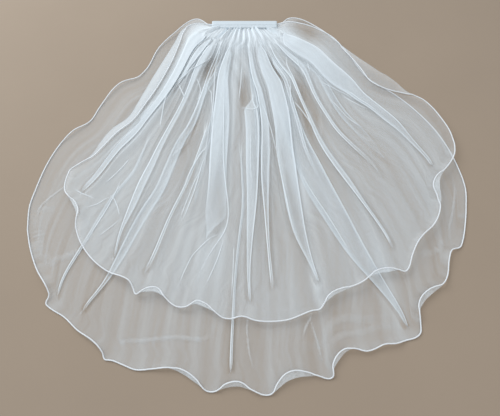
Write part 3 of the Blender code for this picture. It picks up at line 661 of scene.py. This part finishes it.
def rest_height(name, xy):
    """Height of a tier before its folds. The upper one comes down past the lower one's edge."""
    level = height(name, xy)
    if name == "upper":
        lower = Outline(LOWER_LEFT, LOWER_HEM, LOWER_RIGHT)
        outside = distance_outside(xy, lower)
        level += (OVERHANG_HEIGHT - level) * ease(outside, OVERHANG_START, OVERHANG_END)
    return level


# Folds


def side_places(stations, rows):
    """Places across of one side of a fold in each row, on a smooth line through its stations."""
    fine = np.linspace(-0.2, 1.2, 281)
    line = np.interp(fine, np.linspace(0.0, 1.0, len(stations)), stations)
    weight = np.exp(-((rows[:, None] - fine[None, :]) / FOLD_SMOOTHING) ** 2)
    return (weight @ line) / weight.sum(axis=1)


def lap_profile(width, margins, middle_count, turn):
    """Offsets from the left side, heights and sharpness of the columns of a lapped fold."""
    r = min(LAP_RADIUS, width / 2.2)
    bend = np.linspace(-math.pi / 2, math.pi / 2, 5)
    before, after = margins if turn < 0 else margins[::-1]
    run_in = np.linspace(-before, width - r, 5)[:-1]
    middle = np.linspace(width - r, r, middle_count + 2)[1:-1]
    run_out = np.linspace(r, width + after, middle_count + 5)[1:]
    x = np.r_[run_in, width - r + r * np.cos(bend), middle, r - r * np.cos(bend), run_out]
    z = np.r_[
        np.zeros(len(run_in)),
        r + r * np.sin(bend),
        np.full(len(middle), 2 * r),
        3 * r + r * np.sin(bend),
        4 * r * (1 - ease(run_out, LAP_SETTLES * width, width + after)),
    ]
    sharp = np.zeros(len(x))
    first = len(run_in)
    second = first + len(bend) + len(middle)
    sharp[first:first + len(bend)] = LOWER_CREASE
    sharp[second:second + len(bend)] = 1.0
    if turn > 0:
        return width - x[::-1], z[::-1], sharp[::-1]
    return x, z, sharp


def column_counts(outline, ends, rows):
    """How many columns each stretch between folds and each fold's middle needs at its widest."""
    checked = [int(np.searchsorted(rows, t)) for t in WIDTH_CHECKS]
    counts, middles = [], []
    for k, (a, b) in enumerate(zip(ends, ends[1:])):
        length = max((b[r] - a[r]) * outline.scale((a[r] + b[r]) / 2, rows[r]) for r in checked)
        if k % 2 == 0:
            counts.append(max(2, round((length - FOLD_MARGIN) / PLAIN_SPACING)))
        else:
            middles.append(max(2, round(length / MIDDLE_SPACING)))
    return counts, middles


def fold_sides(outline, fold, left, right, t):
    """A fold's two sides in one row, the cloth's scale there, how closed and how thick it is."""
    scale = outline.scale((left + right) / 2, t)
    share = ease(t, fold.first, fold.first + FOLD_CLOSES)
    share *= 1 - ease(t, fold.last - FOLD_ENDS * fold.dies, fold.last)
    thick = 1 - ease(t, fold.last - fold.dies, fold.last - FOLD_THINNED * fold.dies)
    width = max((right - left) * share, LAP_LEAST / scale)
    if fold.turn > 0:
        left = right - width
    return left, left + width, scale, float(share), float(thick)


def fold_block(fold, middle_count, sides, before, after, t):
    """Columns of one fold in one row: place, height, looseness, sharpness and density."""
    left, right, scale, share, thick = sides
    margins = [
        max(min(FOLD_MARGIN, MARGIN_SHARE * gap * scale), MARGIN_LEAST)
        for gap in (left - before, after - right)
    ]
    x, z, sharp = lap_profile((right - left) * scale, margins, middle_count, fold.turn)
    even = np.linspace(x[0], x[-1], len(x))
    x = even + (x - even) * share
    looser = LAP_THINS * ease(t, *LAP_THINS_OVER) * thick
    layers = 1 - share * (LAP_EXTRA * (1 - thick) + looser)
    number = np.arange(len(x))
    inside = ease(number, 0, 3) * ease(number[::-1], 0, 3)
    return (
        left + x / scale,
        z * share,
        np.full(len(x), 1.0 - HELD_DOWN * share),
        sharp * share * thick,
        1 + (layers - 1) * inside,
    )


def fold_columns(outline, folds, rows):
    """Place across, height, looseness, sharpness and density of every column in every row."""
    lefts = np.array([side_places(fold.left, rows) for fold in folds])
    rights = np.array([side_places(fold.right, rows) for fold in folds])
    ends = [np.zeros(len(rows))]
    for left, right in zip(lefts, rights):
        ends += [left, right]
    ends.append(np.ones(len(rows)))
    counts, middles = column_counts(outline, ends, rows)
    table = []
    for k, t in enumerate(rows):
        sides = [fold_sides(outline, *row, t) for row in zip(folds, lefts[:, k], rights[:, k])]
        blocks = []
        for i, fold in enumerate(folds):
            before = sides[i - 1][1] if i else 0.0
            after = sides[i + 1][0] if i + 1 < len(folds) else 1.0
            blocks.append(fold_block(fold, middles[i], sides[i], before, after, t))
        parts = []
        for i, count in enumerate(counts):
            a = blocks[i - 1][0][-1] if i else 0.0
            b = blocks[i][0][0] if i < len(folds) else 1.0
            if i == 0:
                at = np.linspace(a, b, count + 1)[:-1]
            elif i == len(folds):
                at = np.linspace(a, b, count + 1)[1:]
            else:
                at = np.linspace(a, b, count + 2)[1:-1]
            none, all_of_it = np.zeros(count), np.ones(count)
            parts.append((at, none, all_of_it, none, all_of_it))
            parts += blocks[i:i + 1]
        columns = [np.concatenate(part) for part in zip(*parts)]
        even = np.linspace(0.0, 1.0, len(columns[0]))
        columns[0] = even + (columns[0] - even) * ease(t, 0.0, EVEN_UNTIL)
        table.append(columns)
    return [np.array(values) for values in zip(*table)]


def gather_heights(across, distance, seed):
    """Height of the small gathers at fractions across the cut cloth and distances from the band."""
    total = np.zeros_like(distance)
    for k, gather in enumerate(GATHERS):
        fade = 1 - ease(distance, gather.fades_from * MM, gather.gone_by * MM)
        turn = 2 * math.pi * (gather.waves * across + gather.drift * distance / (100 * MM))
        wander = WANDER * np.sin(2 * math.pi * WANDER_WAVES * across + seed + k)
        slow = np.sin(2 * math.pi * (UNEVEN_WAVES + k) * across + 2.0 * seed + 1.7 * k)
        uneven = 1 - UNEVEN + UNEVEN * slow
        total += gather.tall * MM / 2 * uneven * fade * (1 + np.sin(turn + seed * k + wander))
    return total


def streaks(across, down, seed):
    """Uneven streaks of denser cloth that fan out from the band, from about -1.15 to 1.15."""
    wander = 0.8 * np.sin(2 * math.pi * 1.3 * across + 1.1 * seed) + 0.25 * down
    total = np.zeros_like(across)
    for streak in STREAKS:
        turn = 2 * math.pi * (streak.waves * across + streak.drift * wander)
        total += streak.strong * np.sin(turn + streak.shift * seed)
    return total


def pinch_strip(outline, pinch, rows, s_all, z_all):
    """Points, faces, layers and places of one pinched crease on the cloth."""
    path = np.array(pinch.path)
    run = run_along(path)
    place = read_along(path, run, np.linspace(0.0, run[-1], PINCH_POINTS))
    place = smoothed(place, PINCH_SMOOTHING)
    xy = np.array([outline.point(s, t)[0] for s, t in place])
    run = run_along(xy)
    count = max(6, round(run[-1] / PINCH_SPACING))
    at = np.linspace(0.0, run[-1], count)
    place = read_along(place, run, at)
    xy = read_along(xy, run, at)
    z = []
    for s, t in place:
        k = min(int(np.searchsorted(rows, t)), len(rows) - 1)
        low = max(k - 1, 0)
        share = 0.0 if k == low else (t - rows[low]) / (rows[k] - rows[low])
        levels = []
        for row in (low, k):
            near = np.argsort(np.abs(s_all[row] - s))[:4]
            levels.append(z_all[row][near].max())
        z.append(levels[0] * (1 - share) + levels[1] * share)
    z = smoothed(np.array(z), 6)
    along = unit(np.gradient(xy, axis=0))
    side = np.column_stack([-along[:, 1], along[:, 0]])
    q = np.linspace(0.0, 1.0, count)
    ends = ease(q, 0.0, PINCH_TAPER) * (1 - ease(q, 1 - PINCH_TAPER, 1.0))
    points, layers = [], []
    for offset, rise, dense in PINCH_SECTION:
        wide = side * (offset * PINCH_SPREAD * pinch.wide / 2 * MM)
        level = z + PINCH_ABOVE + pinch.rise * rise * ends * MM
        points.append(np.column_stack([xy + wide, level]))
        layers.append(PINCH_LAYERS * pinch.layers * dense * ends)
    across = len(PINCH_SECTION)
    points = np.stack(points, axis=1).reshape(-1, 3)
    layers = np.stack(layers, axis=1).reshape(-1)
    faces = grid_faces(np.arange(count * across).reshape(count, across))
    return points, faces, layers, np.repeat(place, across, axis=0)


# Cloth


def count_layers(s, down, distance, patches, seed):
    """How many layers of the gathers lie at each place, before folds and creases, with a few thinned
    places that are painted shade.
    """
    layers = np.ones_like(s)
    for crowd in CROWDS:
        layers += crowd.layers * (1 - ease(distance, crowd.full_at * MM, crowd.gone_by * MM))
    for patch in patches:
        near = ((s - patch.across) / patch.wide) ** 2 + ((down - patch.down) / patch.long) ** 2
        layers += patch.layers * np.exp(-near)
    return np.maximum(layers, LEAST_LAYERS) * (1 + STREAK_SHARE * streaks(s, down, seed))


def border_rings(start, outline, rows, hem_s):
    """Rings of points from the body's edge out to the cord line, over each roll and back."""
    data = np.column_stack([outline.line[:, 2:4], outline.width, outline.out])
    values = np.vstack([
        outline.read("left", rows, data),
        outline.read("hem", np.clip(hem_s[1:], 0.0, 1.0), data),
        outline.read("right", rows[-2::-1], data),
    ])
    lift, curl, width = values[:, :3].T
    out = unit(values[:, 3:])
    radius = np.minimum(curl / 2, ROLL_RADIUS)
    run_out = width + curl - radius
    flat = 1 - ease(curl, 0.0, CURL_FULL)
    moves = []
    for j in range(1, RUN_RINGS + 1):
        f = j / RUN_RINGS
        moves.append((run_out * f, lift * flat * f * f))
    for j in range(1, ROLL_RINGS + 1):
        angle = math.pi * j / ROLL_RINGS
        rise = lift * flat + radius * (1 - math.cos(angle))
        moves.append((run_out + radius * math.sin(angle), rise))
    for j in range(1, BACK_RINGS + 1):
        f = j / BACK_RINGS
        moves.append((run_out - (curl - radius) * f, lift * flat + radius * 2))
    rings = [start + np.column_stack([out * reach[:, None], rise]) for reach, rise in moves]
    for ring in rings:
        ring[:, 2] = np.maximum(ring[:, 2], CLEAR_OF_TABLE)
    before = rings[-2] * (1 - flat[:, None]) + start * flat[:, None]
    return rings, unit(rings[-1] - before)


def tier_cloth(name, outline):
    """Cloth of a tier: points, faces, places on the cut, layers, and its edge and way out."""
    tier = TIERS[name]
    rows = np.linspace(0.0, 1.0, ROWS) ** ROW_CROWDING
    s_all, fold_z, loose, sharp, dense = fold_columns(outline, tier.folds, rows)
    columns = s_all.shape[1]
    xy = np.array([outline.point(s_row, t) for s_row, t in zip(s_all, rows)])
    run = np.linalg.norm(np.diff(np.dstack([xy, fold_z]), axis=1), axis=2)
    run = np.column_stack([np.zeros(ROWS), np.cumsum(run, axis=1)])
    across = (run / run[:, -1:]).reshape(-1)
    down = np.repeat(rows, columns)
    xy = xy.reshape(-1, 2)
    distance = from_band(xy)
    s = s_all.reshape(-1)
    calm = ease(np.minimum(s, 1 - s), 0.0, SIDE_CALM)
    wave = gather_heights(across, distance, tier.seed) * loose.reshape(-1) * calm
    hem_lift = outline.read("hem", np.clip(s, 0.0, 1.0), outline.line[:, 2:3])[:, 0]
    z = rest_height(name, xy) + fold_z.reshape(-1) + wave
    z += HEM_RISE * np.maximum(hem_lift - HEM_LEAST, 0.0) * ease(down, HEM_RISES_FROM, 1.0)
    if name == "lower":
        z = np.minimum(z, height("upper", xy) - TIER_GAP)
    z = np.maximum(z, CLEAR_OF_TABLE)
    layers = count_layers(s, down, distance, tier.patches, tier.seed) * dense.reshape(-1)
    layers += CREASE_LAYERS * sharp.reshape(-1)
    grid = np.column_stack([xy, z])
    index = np.arange(ROWS * columns).reshape(ROWS, columns)
    faces = grid_faces(index)
    border = np.r_[index[:, 0], index[-1, 1:], index[-2::-1, -1]]
    rings, away = border_rings(grid[border], outline, rows, s_all[-1])
    numbers = [border]
    for k in range(len(rings)):
        numbers.append(np.arange(len(border)) + len(grid) + k * len(border))
    faces.extend(grid_faces(numbers))
    points = [*grid, *np.vstack(rings)]
    layers = np.r_[layers, np.tile(np.minimum(layers[border], BORDER_LAYERS), len(rings))]
    places = np.column_stack([across, down])
    places = np.vstack([places, np.tile(places[border], (len(rings), 1))])
    for pinch in tier.pinches:
        strip = pinch_strip(outline, pinch, rows, s_all, z.reshape(ROWS, columns))
        join(points, faces, *strip[:2])
        layers = np.r_[layers, strip[2]]
        places = np.vstack([places, strip[3]])
    return points, faces, places, layers, rings[-1], away


def mesh_object(name, points, faces, material):
    """Make one named mesh object in the veil's collection."""
    mesh = bpy.data.meshes.new(name)
    mesh.from_pydata(np.asarray(points, float).tolist(), [], [tuple(map(int, f)) for f in faces])
    mesh.materials.append(material)
    mesh.polygons.foreach_set("use_smooth", [True] * len(mesh.polygons))
    obj = bpy.data.objects.new(name, mesh)
    bpy.context.scene.collection.objects.link(obj)
    return obj


def add_uv(obj, name, u, v):
    """Write a UV map from one pair of values for each vertex."""
    layer = obj.data.uv_layers.new(name=name)
    corner = np.empty(len(obj.data.loops), dtype=np.int32)
    obj.data.loops.foreach_get("vertex_index", corner)
    layer.data.foreach_set("uv", np.column_stack([u[corner], v[corner]]).ravel())


def add_cover(obj, layers, one_layer):
    """Write how much light the net stops at each vertex, more where it stands steeply."""
    count = len(obj.data.vertices)
    normals = np.empty(count * 3, dtype=np.float32)
    obj.data.vertices.foreach_get("normal", normals)
    flatness = np.clip(np.abs(normals.reshape(-1, 3)[:, 2]), STEEPEST, 1.0)
    cover = 1 - (1 - one_layer) ** (np.maximum(layers, 0.0) / flatness)
    attribute = obj.data.attributes.new("cover", "FLOAT", "POINT")
    attribute.data.foreach_set("value", cover.astype(np.float32))


# Materials


class Nodes:
    """Short way to lay out a material's nodes."""

    def __init__(self, name):
        self.material = bpy.data.materials.new(name)
        self.material.use_nodes = True
        self.tree = self.material.node_tree
        self.shader = self.tree.nodes["Principled BSDF"]

    def add(self, kind, **settings):
        node = self.tree.nodes.new(kind)
        for key, value in settings.items():
            setattr(node, key, value)
        return node

    def link(self, source, target):
        self.tree.links.new(source, target)

    def math(self, operation, a, b=None, clamp=False):
        node = self.add("ShaderNodeMath", operation=operation, use_clamp=clamp)
        for socket, value in zip(node.inputs, (a, b)):
            if value is None:
                continue
            if isinstance(value, bpy.types.NodeSocket):
                self.link(value, socket)
            else:
                socket.default_value = value
        return node.outputs[0]

    def noise(self, coordinates, scale, detail=3.0, roughness=0.55):
        node = self.add("ShaderNodeTexNoise")
        node.inputs["Scale"].default_value = scale
        node.inputs["Detail"].default_value = detail
        node.inputs["Roughness"].default_value = roughness
        self.link(coordinates, node.inputs["Vector"])
        return node.outputs["Fac"]

    def tint(self, factor, dark, light):
        node = self.add("ShaderNodeMix", data_type="RGBA")
        self.link(factor, node.inputs["Factor"])
        node.inputs["A"].default_value = (*dark, 1.0)
        node.inputs["B"].default_value = (*light, 1.0)
        return node.outputs["Result"]

    def paint(self, factor, colour, dark, light):
        tint = self.tint(factor, scaled(colour, dark), scaled(colour, light))
        self.link(tint, self.shader.inputs["Base Color"])

    def bump(self, height, strength, distance):
        node = self.add("ShaderNodeBump")
        node.inputs["Strength"].default_value = strength
        node.inputs["Distance"].default_value = distance
        self.link(height, node.inputs["Height"])
        self.link(node.outputs["Normal"], self.shader.inputs["Normal"])


def scaled(colour, factor):
    """A colour made lighter or darker."""
    return tuple(min(c * factor, 1.0) for c in colour)


def tulle_material(name):
    """Fine hexagonal net, half see-through, denser where the cover attribute says so."""
    sizes = bpy.context.scene.veil_sizes
    colour = tuple(bpy.context.scene.veil_colours.tulle)
    n = Nodes(name)
    cut = n.add("ShaderNodeUVMap", uv_map="cut").outputs["UV"]
    split = n.add("ShaderNodeSeparateXYZ")
    n.link(cut, split.inputs[0])
    across, down = split.outputs[0], split.outputs[1]
    turns = 2 * math.pi / sizes.net_pitch
    net = None
    for angle in (0.0, math.pi / 3, 2 * math.pi / 3):
        a = n.math("MULTIPLY", across, turns * math.cos(angle))
        b = n.math("MULTIPLY", down, turns * math.sin(angle))
        wave = n.math("SINE", n.math("ADD", a, b))
        net = wave if net is None else n.math("ADD", net, wave)
    threads = n.math("MULTIPLY", net, NET_CONTRAST)
    stretch = n.add("ShaderNodeMapping")
    stretch.inputs["Scale"].default_value = PATCHY_STRETCH
    n.link(cut, stretch.inputs["Vector"])
    patchy = n.noise(stretch.outputs["Vector"], 1.0, 3.0)
    patchy = n.math("MULTIPLY", n.math("SUBTRACT", patchy, 0.5), PATCHY_SHARE)
    cover = n.add("ShaderNodeAttribute", attribute_name="cover").outputs["Fac"]
    uneven = n.math("ADD", threads, patchy)
    room = n.math("SUBTRACT", 1.0, cover)
    alpha = n.math("ADD", cover, n.math("MULTIPLY", uneven, room), clamp=True)
    n.link(alpha, n.shader.inputs["Alpha"])
    soft = n.noise(cut, 9.0, 2.0)
    n.paint(soft, colour, 0.94, 1.04)
    n.shader.inputs["Roughness"].default_value = 0.62
    n.shader.inputs["Specular IOR Level"].default_value = 0.25
    n.shader.inputs["Sheen Weight"].default_value = 0.25
    n.shader.inputs["Sheen Roughness"].default_value = 0.45
    n.material.surface_render_method = "BLENDED"
    return n.material


def satin_material(name, colour, rib_pitch, rib_strength):
    """Glossy woven satin with fine ribs across its length."""
    n = Nodes(name)
    place = n.add("ShaderNodeUVMap", uv_map="run").outputs["UV"]
    split = n.add("ShaderNodeSeparateXYZ")
    n.link(place, split.inputs[0])
    along, around = split.outputs[0], split.outputs[1]
    slanted = n.math("ADD", along, n.math("MULTIPLY", around, rib_pitch * 1.5))
    ribs = n.math("SINE", n.math("MULTIPLY", slanted, 2 * math.pi / rib_pitch))
    ribs = n.math("MULTIPLY", n.math("ADD", ribs, 1.0), 0.5)
    cloudy = n.noise(place, 60.0, 3.0)
    mixed = n.math("ADD", n.math("MULTIPLY", ribs, 0.45), n.math("MULTIPLY", cloudy, 0.55))
    n.paint(mixed, colour, 0.90, 1.05)
    rough = n.math("ADD", n.math("MULTIPLY", cloudy, 0.18), 0.24)
    n.link(rough, n.shader.inputs["Roughness"])
    n.shader.inputs["Sheen Weight"].default_value = 0.35
    n.shader.inputs["Sheen Roughness"].default_value = 0.3
    n.shader.inputs["Specular IOR Level"].default_value = 0.6
    n.bump(ribs, rib_strength, 0.15 * MM)
    return n.material


def thread_material(name):
    """Matt white sewing thread with a fine twist."""
    n = Nodes(name)
    place = n.add("ShaderNodeTexCoord").outputs["Object"]
    fine = n.noise(place, 1400.0, 2.0)
    n.link(n.tint(fine, (0.74, 0.77, 0.79), (0.90, 0.92, 0.93)), n.shader.inputs["Base Color"])
    n.shader.inputs["Roughness"].default_value = 0.7
    n.shader.inputs["Sheen Weight"].default_value = 0.3
    n.bump(fine, 0.4, 0.1 * MM)
    return n.material


def comb_material(name):
    """Milky moulded plastic with faint flow marks."""
    colour = tuple(bpy.context.scene.veil_colours.comb)
    n = Nodes(name)
    place = n.add("ShaderNodeTexCoord").outputs["Object"]
    flow = n.noise(place, 90.0, 4.0)
    n.paint(flow, colour, 0.92, 1.06)
    n.link(n.math("ADD", n.math("MULTIPLY", flow, 0.16), 0.20), n.shader.inputs["Roughness"])
    n.shader.inputs["Coat Weight"].default_value = 0.25
    n.shader.inputs["Coat Roughness"].default_value = 0.15
    n.bump(flow, 0.15, 0.2 * MM)
    return n.material


def table_material(name):
    """Plain matt surface with a faint cloudiness."""
    colour = tuple(bpy.context.scene.veil_colours.table)
    n = Nodes(name)
    place = n.add("ShaderNodeTexCoord").outputs["Object"]
    cloudy = n.noise(place, 5.0, 4.0)
    n.paint(cloudy, colour, 0.95, 1.05)
    n.shader.inputs["Roughness"].default_value = 0.75
    n.shader.inputs["Specular IOR Level"].default_value = 0.2
    return n.material


# Trimmings


def tube(path, radius, sides):
    """Points, faces, length along and turn around of a round tube that follows a path."""
    step = unit(np.gradient(path, axis=0))
    side = unit(np.cross(step, (0.0, 0.0, 1.0)))
    over = np.cross(side, step)
    angles = 2 * math.pi * np.arange(sides) / sides
    ring = side[:, None] * np.cos(angles)[:, None] + over[:, None] * np.sin(angles)[:, None]
    points = (path[:, None] + radius * ring).reshape(-1, 3)
    index = np.arange(len(path) * sides).reshape(len(path), sides)
    faces = []
    for a, b in zip(index, index[1:]):
        faces.extend(zip(a, np.roll(a, -1), np.roll(b, -1), b))
    faces += [tuple(index[0][::-1]), tuple(index[-1])]
    return points, faces, np.repeat(run_along(path), sides), np.tile(angles / (2 * math.pi), len(path))


def even_path(path, spacing):
    """The same path with evenly spaced points."""
    run = run_along(path)
    keep = np.r_[True, np.diff(run) > 1e-6]
    count = max(2, round(run[-1] / spacing))
    return read_along(path[keep], run[keep], np.linspace(0.0, run[-1], count))


# Cord line of each tier's edge and its way out from the cloth, once the tier is made
EDGES = {}


def dress_tier(name):
    """Make one tier of tulle in place of its solid and keep its edge for the cord."""
    tier = TIERS[name]
    outline = Outline(tier.left, tier.hem, tier.right)
    points, faces, places, layers, edge, away = tier_cloth(name, outline)
    obj = mesh_object(name + "_tulle", points, faces, tulle_material(name + "_tulle"))
    add_uv(obj, "cut", places[:, 0] * tier.flat[0], places[:, 1] * tier.flat[1])
    add_cover(obj, layers, bpy.context.scene.veil_sizes.one_layer)
    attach(obj, "root")
    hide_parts(name + "_tier")
    EDGES[name] = (edge, away)
    return obj


class VEIL_OT_lower_tier(bpy.types.Operator):
    """Make the longer tier of tulle, which lies on the table"""

    bl_idname = "veil.lower_tier"
    bl_label = "Lower tier"

    def execute(self, context):
        obj = dress_tier("lower")
        return {"FINISHED"}


class VEIL_OT_upper_tier(bpy.types.Operator):
    """Make the shorter tier of tulle, which lies on the longer one"""

    bl_idname = "veil.upper_tier"
    bl_label = "Upper tier"

    def execute(self, context):
        obj = dress_tier("upper")
        return {"FINISHED"}


class VEIL_OT_edging(bpy.types.Operator):
    """Sew a satin cord round the free edge of each tier, with small stitches over it"""

    bl_idname = "veil.edging"
    bl_label = "Satin cord edging"

    def execute(self, context):
        if len(EDGES) < 2:
            raise RuntimeError("Make both tiers before their edging")
        sizes = context.scene.veil_sizes
        colour = tuple(context.scene.veil_colours.satin)
        satin = satin_material("satin_cord", colour, 1.1 * MM, 0.35)
        thread = thread_material("edging_thread")
        for name in ("lower", "upper"):
            edge, away = EDGES[name]
            path = even_path(edge + away * sizes.cord_radius * CORD_OUTSIDE, CORD_SPACING)
            path = smoothed(path, 3)
            path[:, 2] = np.maximum(path[:, 2], sizes.cord_radius + CORD_ABOVE_TABLE)
            points, faces, along, around = tube(path, sizes.cord_radius, 8)
            cord = mesh_object(name + "_cord", points, faces, satin)
            add_uv(cord, "run", along, around)
            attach(cord, "root")
            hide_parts(name + "_edging")
            stitches = stitch_loops(path, sizes.cord_radius, sizes.stitch_pitch)
            sewn = mesh_object(name + "_stitches", *stitches, thread)
            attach(sewn, "root")
        return {"FINISHED"}


def stitch_loops(path, radius, pitch):
    """Points and faces of small slanted stitches that lie over a cord."""
    points, faces = [], []
    run = run_along(path)
    at = np.arange(pitch, run[-1] - pitch, pitch)
    middles = read_along(path, run, at)
    steps = read_along(unit(np.gradient(path, axis=0)), run, at)
    for k, (middle, along) in enumerate(zip(middles, steps)):
        side = unit(np.cross(along, (0.0, 0.0, 1.0)))
        over = np.cross(side, along)
        slant = STITCH_SLANT * pitch * (1 if k % 2 else -1)
        arc = []
        for q in np.linspace(-STITCH_REACH, STITCH_REACH, 6):
            angle = math.pi * q
            round_it = side * math.sin(angle) + over * math.cos(angle)
            arc.append(middle + (radius + STITCH_LIFT) * round_it + along * slant * q)
        join(points, faces, *tube(np.array(arc), EDGE_THREAD, 4)[:2])
    return points, faces


class VEIL_OT_satin_band(bpy.types.Operator):
    """Turn a satin ribbon over the gathered edges and stitch it down"""

    bl_idname = "veil.satin_band"
    bl_label = "Satin band"

    def execute(self, context):
        sizes = context.scene.veil_sizes
        low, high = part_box("satin_band")
        half = sizes.band_length / 2
        front, back = -sizes.band_depth / 2, sizes.band_depth / 2
        top = high[2]
        profile = band_profile(front, back, top, low[2])
        xs = np.linspace(-half, half, 109)
        points, u, v = [], [], []
        run = run_along(profile)
        for x in xs:
            end = ease(half - abs(x), 0.0, 2.0 * MM)
            ripple = 0.12 * MM * math.sin(x * 900) + 0.1 * MM * math.sin(x * 370 + 1)
            for (y, z), d in zip(profile, run):
                free = ease(y, back, front)
                points.append((x, y + ripple * free, z - 0.5 * MM * (1 - end) + 0.5 * ripple * free))
                u.append(x)
                v.append(d / (3 * MM))
        index = np.arange(len(points)).reshape(len(xs), len(profile))
        faces = []
        for a, b in zip(index, index[1:]):
            faces.extend(zip(a[:-1], a[1:], b[1:], b[:-1]))
        faces += [tuple(index[0][::-1]), tuple(index[-1])]
        colour = tuple(context.scene.veil_colours.band)
        satin = satin_material("satin_ribbon", colour, 0.7 * MM, 0.18)
        band = mesh_object("satin_ribbon", points, faces, satin)
        add_uv(band, "run", np.array(u), np.array(v))
        thicken = band.modifiers.new("ribbon thickness", "SOLIDIFY")
        thicken.thickness = RIBBON_THICKNESS
        thicken.offset = -1.0
        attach(band, "root")
        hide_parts("satin_band")
        thread = thread_material("band_thread")
        points, faces = [], []
        crown = profile[2:2 + BAND_TOP_POINTS]
        for y in (front + BAND_SEAM * sizes.band_depth, back - 2.6 * MM):
            z = float(np.interp(y, crown[:, 0], crown[:, 1]))
            for x in np.arange(-half + 2 * MM, half - 2 * MM, BAND_STITCH_PITCH):
                q = np.linspace(0.0, 1.0, 5)
                hump = z + 0.05 * MM + 0.16 * MM * np.sin(math.pi * q)
                arc = np.column_stack([x + q * BAND_STITCH, np.full(5, y), hump])
                join(points, faces, *tube(arc, BAND_THREAD, 5)[:2])
        sewn = mesh_object("band_stitches", points, faces, thread)
        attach(sewn, "root")
        return {"FINISHED"}


def band_profile(front, back, top, foot):
    """Section of the ribbon from its front lip, over the top and down its back."""
    depth = back - front
    points = [(front, top - 2.2 * MM), (front + 0.1 * MM, top - 1.3 * MM)]
    for f in np.linspace(0.04, 0.86, BAND_TOP_POINTS):
        crown = 0.7 * MM * (f - 1) * f * 2
        seam = 0.9 * MM * math.exp(-((f - BAND_SEAM) / 0.045) ** 2)
        lip = 0.5 * MM * (1 - min(f / 0.12, 1.0)) ** 2
        points.append((front + depth * f, top + crown * 0.5 - seam - lip))
    crest = points[-1][1]
    turn = BAND_CORNER
    for angle in np.linspace(75, 0, 6):
        a = math.radians(angle)
        points.append((back - turn + turn * math.cos(a), crest - turn + turn * math.sin(a)))
    for f in np.linspace(0.15, 1.0, 6):
        points.append((back, crest - turn + (foot - crest + turn) * f))
    return np.array(points)


class VEIL_OT_comb(bpy.types.Operator):
    """Give the comb under the gathers its milky plastic"""

    bl_idname = "veil.comb"
    bl_label = "Comb"

    def execute(self, context):
        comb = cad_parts["hair_comb"]
        material = comb_material("milky_plastic")
        for slot in comb.material_slots:
            slot.material = material
        return {"FINISHED"}


class VEIL_OT_stage(bpy.types.Operator):
    """Add the plain table, soft studio light and the camera"""

    bl_idname = "veil.stage"
    bl_label = "Stage"

    def execute(self, context):
        scene = context.scene
        signs = ((-1, -1), (1, -1), (1, 1), (-1, 1))
        corners = [(x * TABLE_REACH, y * TABLE_REACH, 0) for x, y in signs]
        table = mesh_object("table_top", corners, [(0, 1, 2, 3)], table_material("table_top"))
        table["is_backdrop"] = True
        world = bpy.data.worlds.new("soft_room")
        scene.world = world
        world.use_nodes = True
        background = world.node_tree.nodes["Background"]
        background.inputs["Color"].default_value = ROOM_COLOUR
        background.inputs["Strength"].default_value = ROOM_STRENGTH
        for lamp in LAMPS:
            add_lamp(lamp)
        camera = bpy.data.cameras.new("table_camera")
        camera.lens = CAMERA_LENS
        camera.clip_start = 0.01
        obj = bpy.data.objects.new("table_camera", camera)
        obj.location = CAMERA_PLACE
        obj.rotation_euler = (math.radians(90 - CAMERA_ELEVATION), 0.0, 0.0)
        scene.collection.objects.link(obj)
        scene.camera = obj
        scene.view_settings.view_transform = "Standard"
        scene.cycles.transparent_max_bounces = 40
        return {"FINISHED"}


def add_lamp(lamp):
    """Add a soft square lamp that points at the veil."""
    light = bpy.data.lights.new(lamp.name, "AREA")
    light.size = lamp.size
    light.energy = lamp.power
    light.color = lamp.colour
    obj = bpy.data.objects.new(lamp.name, light)
    obj.location = lamp.place
    aim = Vector(LAMPS_AIM) - Vector(lamp.place)
    obj.rotation_euler = aim.to_track_quat("-Z", "Y").to_euler()
    bpy.context.scene.collection.objects.link(obj)


class VEIL_PT_panel(bpy.types.Panel):
    """Lists the veil's sizes, colours and pieces"""

    bl_label = "Veil"
    bl_idname = "VEIL_PT_panel"
    bl_space_type = "VIEW_3D"
    bl_region_type = "UI"
    bl_category = "Veil"

    def draw(self, context):
        layout = self.layout
        for group in (context.scene.veil_sizes, context.scene.veil_colours):
            for key in group.__annotations__:
                layout.prop(group, key)
        for operator in OPERATORS:
            layout.operator(operator.bl_idname)


OPERATORS = (
    VEIL_OT_lower_tier,
    VEIL_OT_upper_tier,
    VEIL_OT_edging,
    VEIL_OT_satin_band,
    VEIL_OT_comb,
    VEIL_OT_stage,
)
CLASSES = (VeilSizes, VeilColours, *OPERATORS, VEIL_PT_panel)


def register():
    """Register the classes and hang the two groups of properties on the scene."""
    for cls in CLASSES:
        bpy.utils.register_class(cls)
    bpy.types.Scene.veil_sizes = bpy.props.PointerProperty(type=VeilSizes)
    bpy.types.Scene.veil_colours = bpy.props.PointerProperty(type=VeilColours)


def unregister():
    """Take the classes and the properties away again."""
    del bpy.types.Scene.veil_colours
    del bpy.types.Scene.veil_sizes
    for cls in reversed(CLASSES):
        bpy.utils.unregister_class(cls)


def main():
    """Dress the veil."""
    register()
    bpy.ops.veil.lower_tier()
    bpy.ops.veil.upper_tier()
    bpy.ops.veil.edging()
    bpy.ops.veil.satin_band()
    bpy.ops.veil.comb()
    bpy.ops.veil.stage()
    boxes = {"cad": CAD_BOX, "dressed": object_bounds()}
    boxes = {key: [list(corner) for corner in box] for key, box in boxes.items()}


if __name__ == "__main__":
    main()
